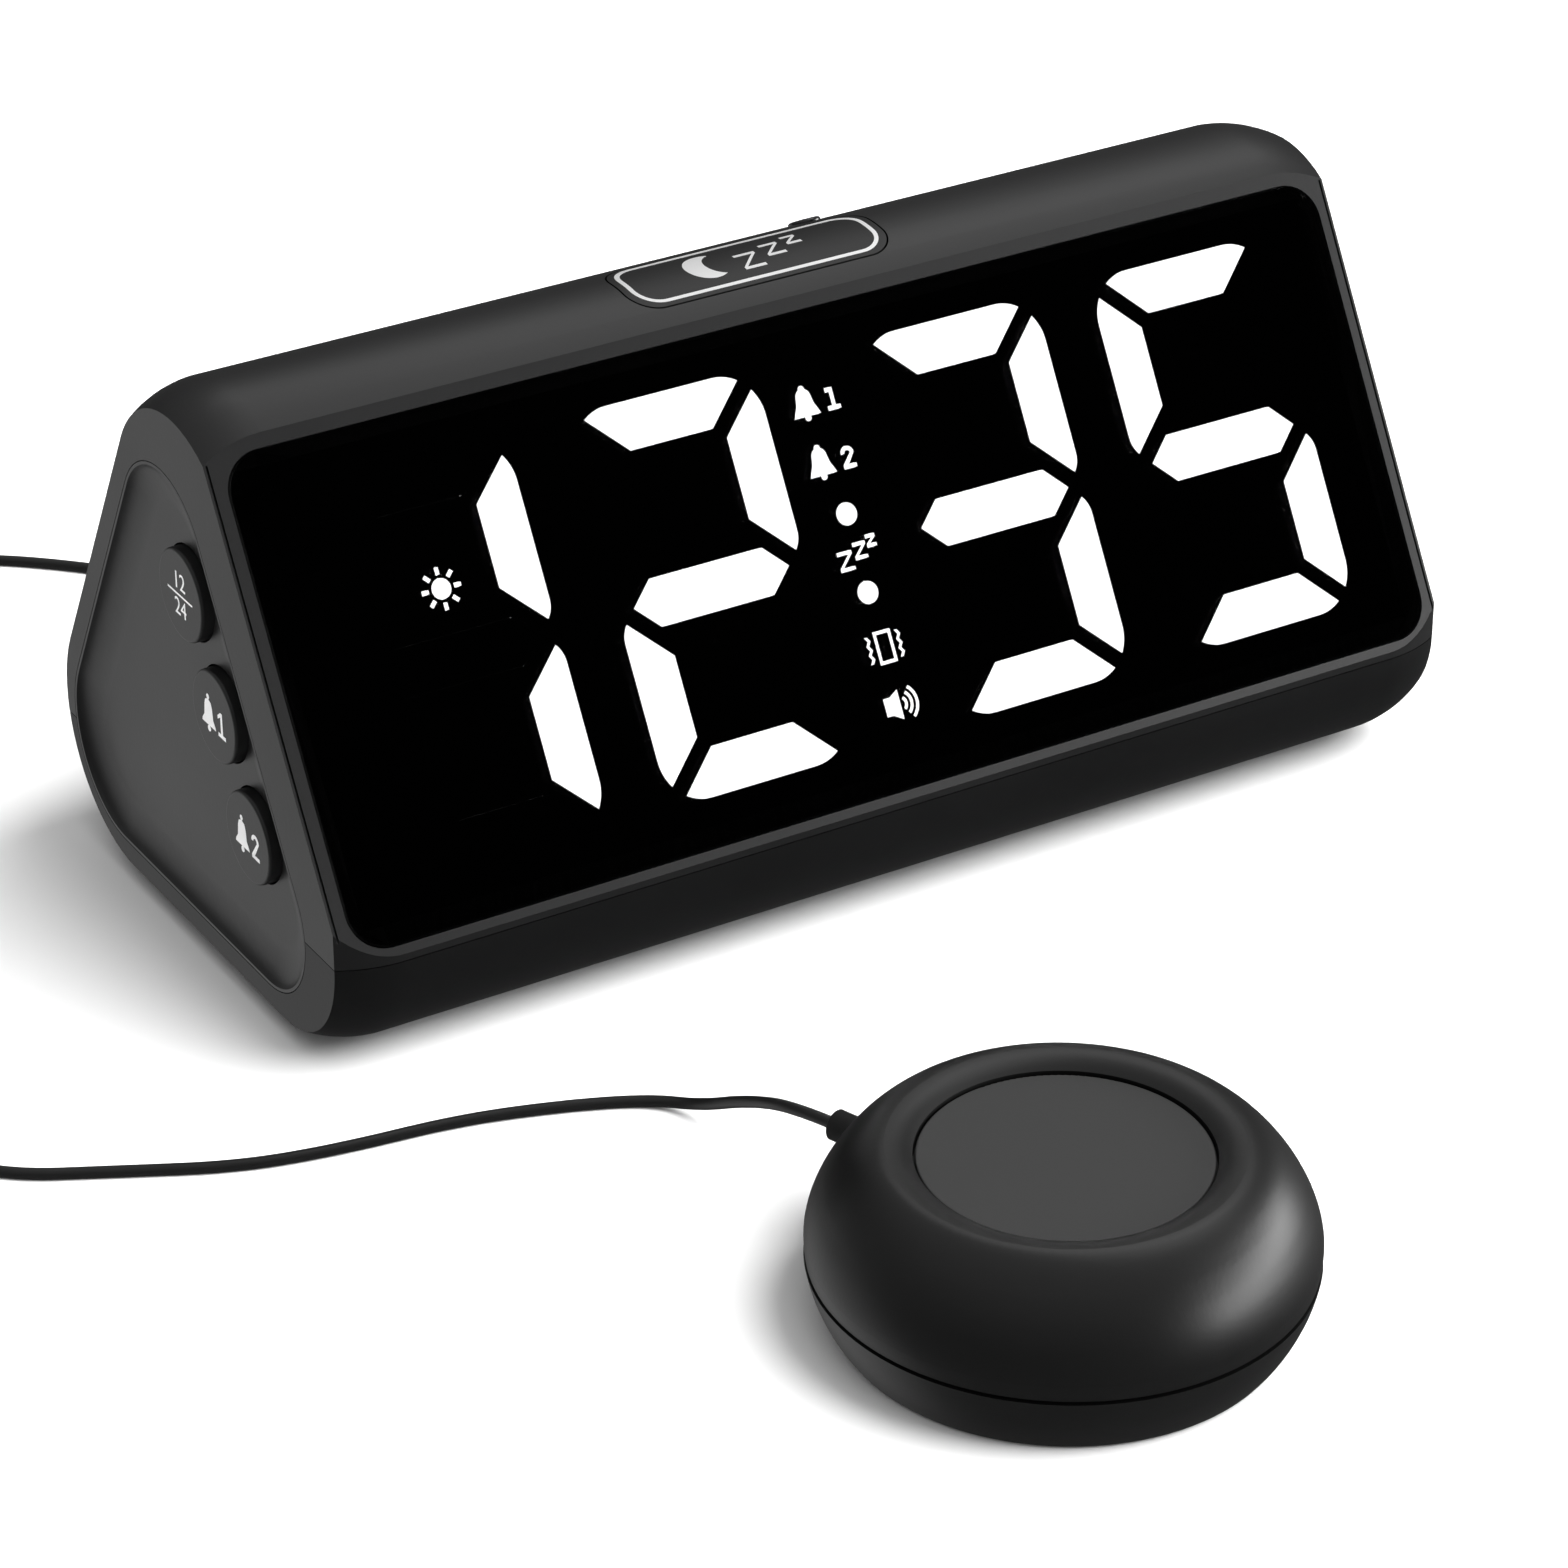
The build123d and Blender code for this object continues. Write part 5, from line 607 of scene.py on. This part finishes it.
def key_marks():
    marks = {
        "set_key": hours_mark(),
        "alarm_1_key": alarm_mark(1),
        "alarm_2_key": alarm_mark(2),
        "up_key": arrow_mark(1),
        "down_key": arrow_mark(-1),
        "mode_key": menu_mark(),
    }
    for name, body, side, row in KEYS:
        printed(name + "_mark", marks[name], key_place(name, side, row), body)


key_marks()


# Snooze outline and its sleep mark, laid round the top: x along the clock, y towards the back
SNOOZE_MIDDLE = (-0.8, -2.2)
SNOOZE_WIDTH = 43.2
SNOOZE_RUN = 12.3
SNOOZE_CORNER = 4.4
SNOOZE_LINE = 0.75
# The line is thicker at the back than at the front
INNER_SHIFT = -0.15
OUTLINE_PITCH = 0.6
MARK_PITCH = 0.4
# Pitch, first and last of the cuts across the marks
SNOOZE_ROWS = (0.5, -6.0, 6.1)
MOON = (-7.2, 0, 3.7)
MOON_HORN = radians(60)
MOON_SHIFT = 0.85
SLEEP_SIGNS = ((-0.4, -1.4, 4.4), (4.5, 0.2, 3.8), (8.6, 1.7, 3.0))
SLEEP_HALF_WIDTH = 0.42
SLEEP_LINE = 0.6


def crescent(x, y, radius):
    """A moon: an arc from horn to horn, and back along a second circle set off to the right."""
    outer = round_points(x, y, radius, MOON_STEPS, MOON_HORN, WHOLE_TURN - MOON_HORN)
    across = radius * (cos(MOON_HORN) - MOON_SHIFT)
    up = radius * sin(MOON_HORN)
    turn = atan2(up, across)
    inner_x = x + radius * MOON_SHIFT
    inner_radius = sqrt(across**2 + up**2)
    inner = round_points(inner_x, y, inner_radius, MOON_STEPS, WHOLE_TURN - turn, turn)
    return outer + inner


def sleep_outline(x, y, size, line):
    """A Z, as the sign for sleep."""
    h = size / 2
    w = SLEEP_HALF_WIDTH * size
    shape = [(-w, h), (w, h), (w, h - line), (line - w, line - h), (w, line - h)]
    shape += [(w, -h), (-w, -h), (-w, line - h), (w - line, h - line), (-w, h - line)]
    return [(x + across, y + up) for across, up in shape]


def snooze_marks():
    place = top_place(*SNOOZE_MIDDLE)
    outer = ring_points(SNOOZE_WIDTH, SNOOZE_RUN, SNOOZE_CORNER)
    both = 2 * SNOOZE_LINE
    inner = ring_points(SNOOZE_WIDTH - both, SNOOZE_RUN - both, SNOOZE_CORNER - SNOOZE_LINE)
    inner = [(x, y + INNER_SHIFT) for x, y in inner]
    outline = [dense(points, OUTLINE_PITCH) for points in (outer, inner)]
    printed("snooze_outline", [outline_mesh(outline)], place, "snooze", SNOOZE_ROWS)
    mark = [crescent(*MOON)]
    for x, y, size in SLEEP_SIGNS:
        mark.append(sleep_outline(x, y, size, SLEEP_LINE))
    mark = [dense(points, MARK_PITCH) for points in mark]
    printed("snooze_mark", [outline_mesh(mark)], place, "snooze", SNOOZE_ROWS)


snooze_marks()


# Floor, light and camera, in metres and degrees. Azimuths start at the clock's front and turn
# towards its right end.
FLOOR_REACH = 6.0
FLOOR_CORNERS = ((-1, -1), (1, -1), (1, 1), (-1, 1))
FLOOR_SHADE = (0.86, 0.86, 0.86, 1)
FLOOR_ROUGHNESS = 0.9
FLOOR_SPECULAR = 0.1
AIM = Vector((-0.02, 0.0, 0.03))
CAMERA_PLACE = (-0.397, -0.5977, 0.4445)
CAMERA_TURNS = (60.163, 0, -31.165)
CAMERA_LENS = 128.3
CAMERA_SENSOR = 36
# Parts of the surroundings: the way to each, how near a direction comes to it where its change
# starts and ends, and the levels before and after the change
OVERHEAD = ((0, 0, 1), (0.1, 1.0), (0.1, 0.6))
LEFT_BACK = ((-0.5, 0.72, -0.48), (0.75, 0.98), (0.0, 0.72))
DARK_CARD = ((0.483, -0.744, 0.462), (0.93, 0.972), (1.0, 0.02))
# Name, azimuth, elevation, strength and breadth as an angle
FLOOR_LIGHTS = (
    ("floor_key", 48, 50, 6.1, 56),
    ("floor_fill", 0, 45, 1.2, 60),
)
# Name, azimuth, elevation, distance, width, height and radiance
SOFTBOXES = (
    ("right_front_light", 62, 10, 1.6, 2.0, 0.4, 13),
    ("right_top_light", 100, 62, 1.4, 0.8, 0.8, 1.2),
    ("back_light", 138, 50, 1.5, 1.0, 0.5, 1.6),
)


def stage_floor():
    mesh = bpy.data.meshes.new("floor")
    corners = [(across * FLOOR_REACH, along * FLOOR_REACH, 0) for across, along in FLOOR_CORNERS]
    mesh.from_pydata(corners, [], [(0, 1, 2, 3)])
    floor = bpy.data.objects.new("floor", mesh)
    bpy.context.collection.objects.link(floor)
    material, tree, shader = new_material("floor_white")
    socket(shader, "Base Color", FLOOR_SHADE)
    socket(shader, "Roughness", FLOOR_ROUGHNESS)
    socket(shader, "Specular IOR Level", FLOOR_SPECULAR)
    mesh.materials.append(material)
    floor.visible_glossy = False
    return floor


def light_group(name, pieces, state):
    """The pieces that a light is kept to, or is kept off."""
    group = bpy.data.collections.new(name)
    for piece in pieces:
        group.objects.link(piece)
    for entry in group.collection_objects:
        entry.light_linking.link_state = state
    return group


def direction(azimuth, elevation):
    turn = radians(azimuth)
    rise = radians(elevation)
    return Vector((cos(rise) * sin(turn), -cos(rise) * cos(turn), sin(rise)))


def hang(light, way, group):
    """Puts a light in the scene that shines back along the given way."""
    holder = bpy.data.objects.new(light.name, light)
    holder.rotation_euler = (-way).to_track_quat("-Z", "Y").to_euler()
    holder.light_linking.receiver_collection = group
    bpy.context.collection.objects.link(holder)
    return holder


def softbox(name, azimuth, elevation, distance, width, height, radiance):
    """A broad soft light on the object, but not on the floor or the display lens."""
    light = bpy.data.lights.new(name, "AREA")
    light.shape = "RECTANGLE"
    light.size = width
    light.size_y = height
    light.energy = radiance * pi * width * height
    way = direction(azimuth, elevation)
    hang(light, way, on_objects).location = AIM + way * distance


def floor_light(name, azimuth, elevation, energy, breadth):
    """A broad light that whitens the floor alone."""
    light = bpy.data.lights.new(name, "SUN")
    light.energy = energy
    light.angle = radians(breadth)
    hang(light, direction(azimuth, elevation), on_floor)


def level(tree, coords, way, edges, levels):
    """A level that changes smoothly as a direction nears the given way."""
    nearness = tree.nodes.new("ShaderNodeVectorMath")
    nearness.operation = "DOT_PRODUCT"
    nearness.inputs[1].default_value = Vector(way).normalized()
    tree.links.new(coords.outputs["Generated"], nearness.inputs[0])
    ramp = tree.nodes.new("ShaderNodeMapRange")
    ramp.interpolation_type = "SMOOTHSTEP"
    for name, value in zip(("From Min", "From Max", "To Min", "To Max"), (*edges, *levels)):
        socket(ramp, name, value)
    tree.links.new(nearness.outputs["Value"], ramp.inputs["Value"])
    return ramp.outputs["Result"]


def combined(tree, kind, first, second):
    node = tree.nodes.new("ShaderNodeMath")
    node.operation = kind
    tree.links.new(first, node.inputs[0])
    tree.links.new(second, node.inputs[1])
    return node.outputs["Value"]


def studio_world():
    """Dim surroundings, brighter overhead and low on the left, with a dark card before the display."""
    world = bpy.data.worlds.new("studio")
    bpy.context.scene.world = world
    world.use_nodes = True
    tree = world.node_tree
    shade = tree.nodes["Background"]
    coords = tree.nodes.new("ShaderNodeTexCoord")
    both = combined(tree, "ADD", level(tree, coords, *OVERHEAD), level(tree, coords, *LEFT_BACK))
    strength = combined(tree, "MULTIPLY", both, level(tree, coords, *DARK_CARD))
    tree.links.new(strength, shade.inputs["Strength"])
    socket(shade, "Color", (1, 1, 1, 1))


def studio_camera():
    data = bpy.data.cameras.new("camera")
    data.lens = CAMERA_LENS
    data.sensor_width = CAMERA_SENSOR
    holder = bpy.data.objects.new("camera", data)
    holder.location = CAMERA_PLACE
    holder.rotation_euler = [radians(turn) for turn in CAMERA_TURNS]
    bpy.context.collection.objects.link(holder)
    bpy.context.scene.camera = holder


floor = stage_floor()
on_objects = light_group("on_objects", (floor, nodes["display_lens"]), "EXCLUDE")
on_floor = light_group("on_floor", (floor,), "INCLUDE")
for lamp in FLOOR_LIGHTS:
    floor_light(*lamp)
studio_world()
for lamp in SOFTBOXES:
    softbox(*lamp)
studio_camera()
bpy.context.scene.view_settings.view_transform = "Standard"
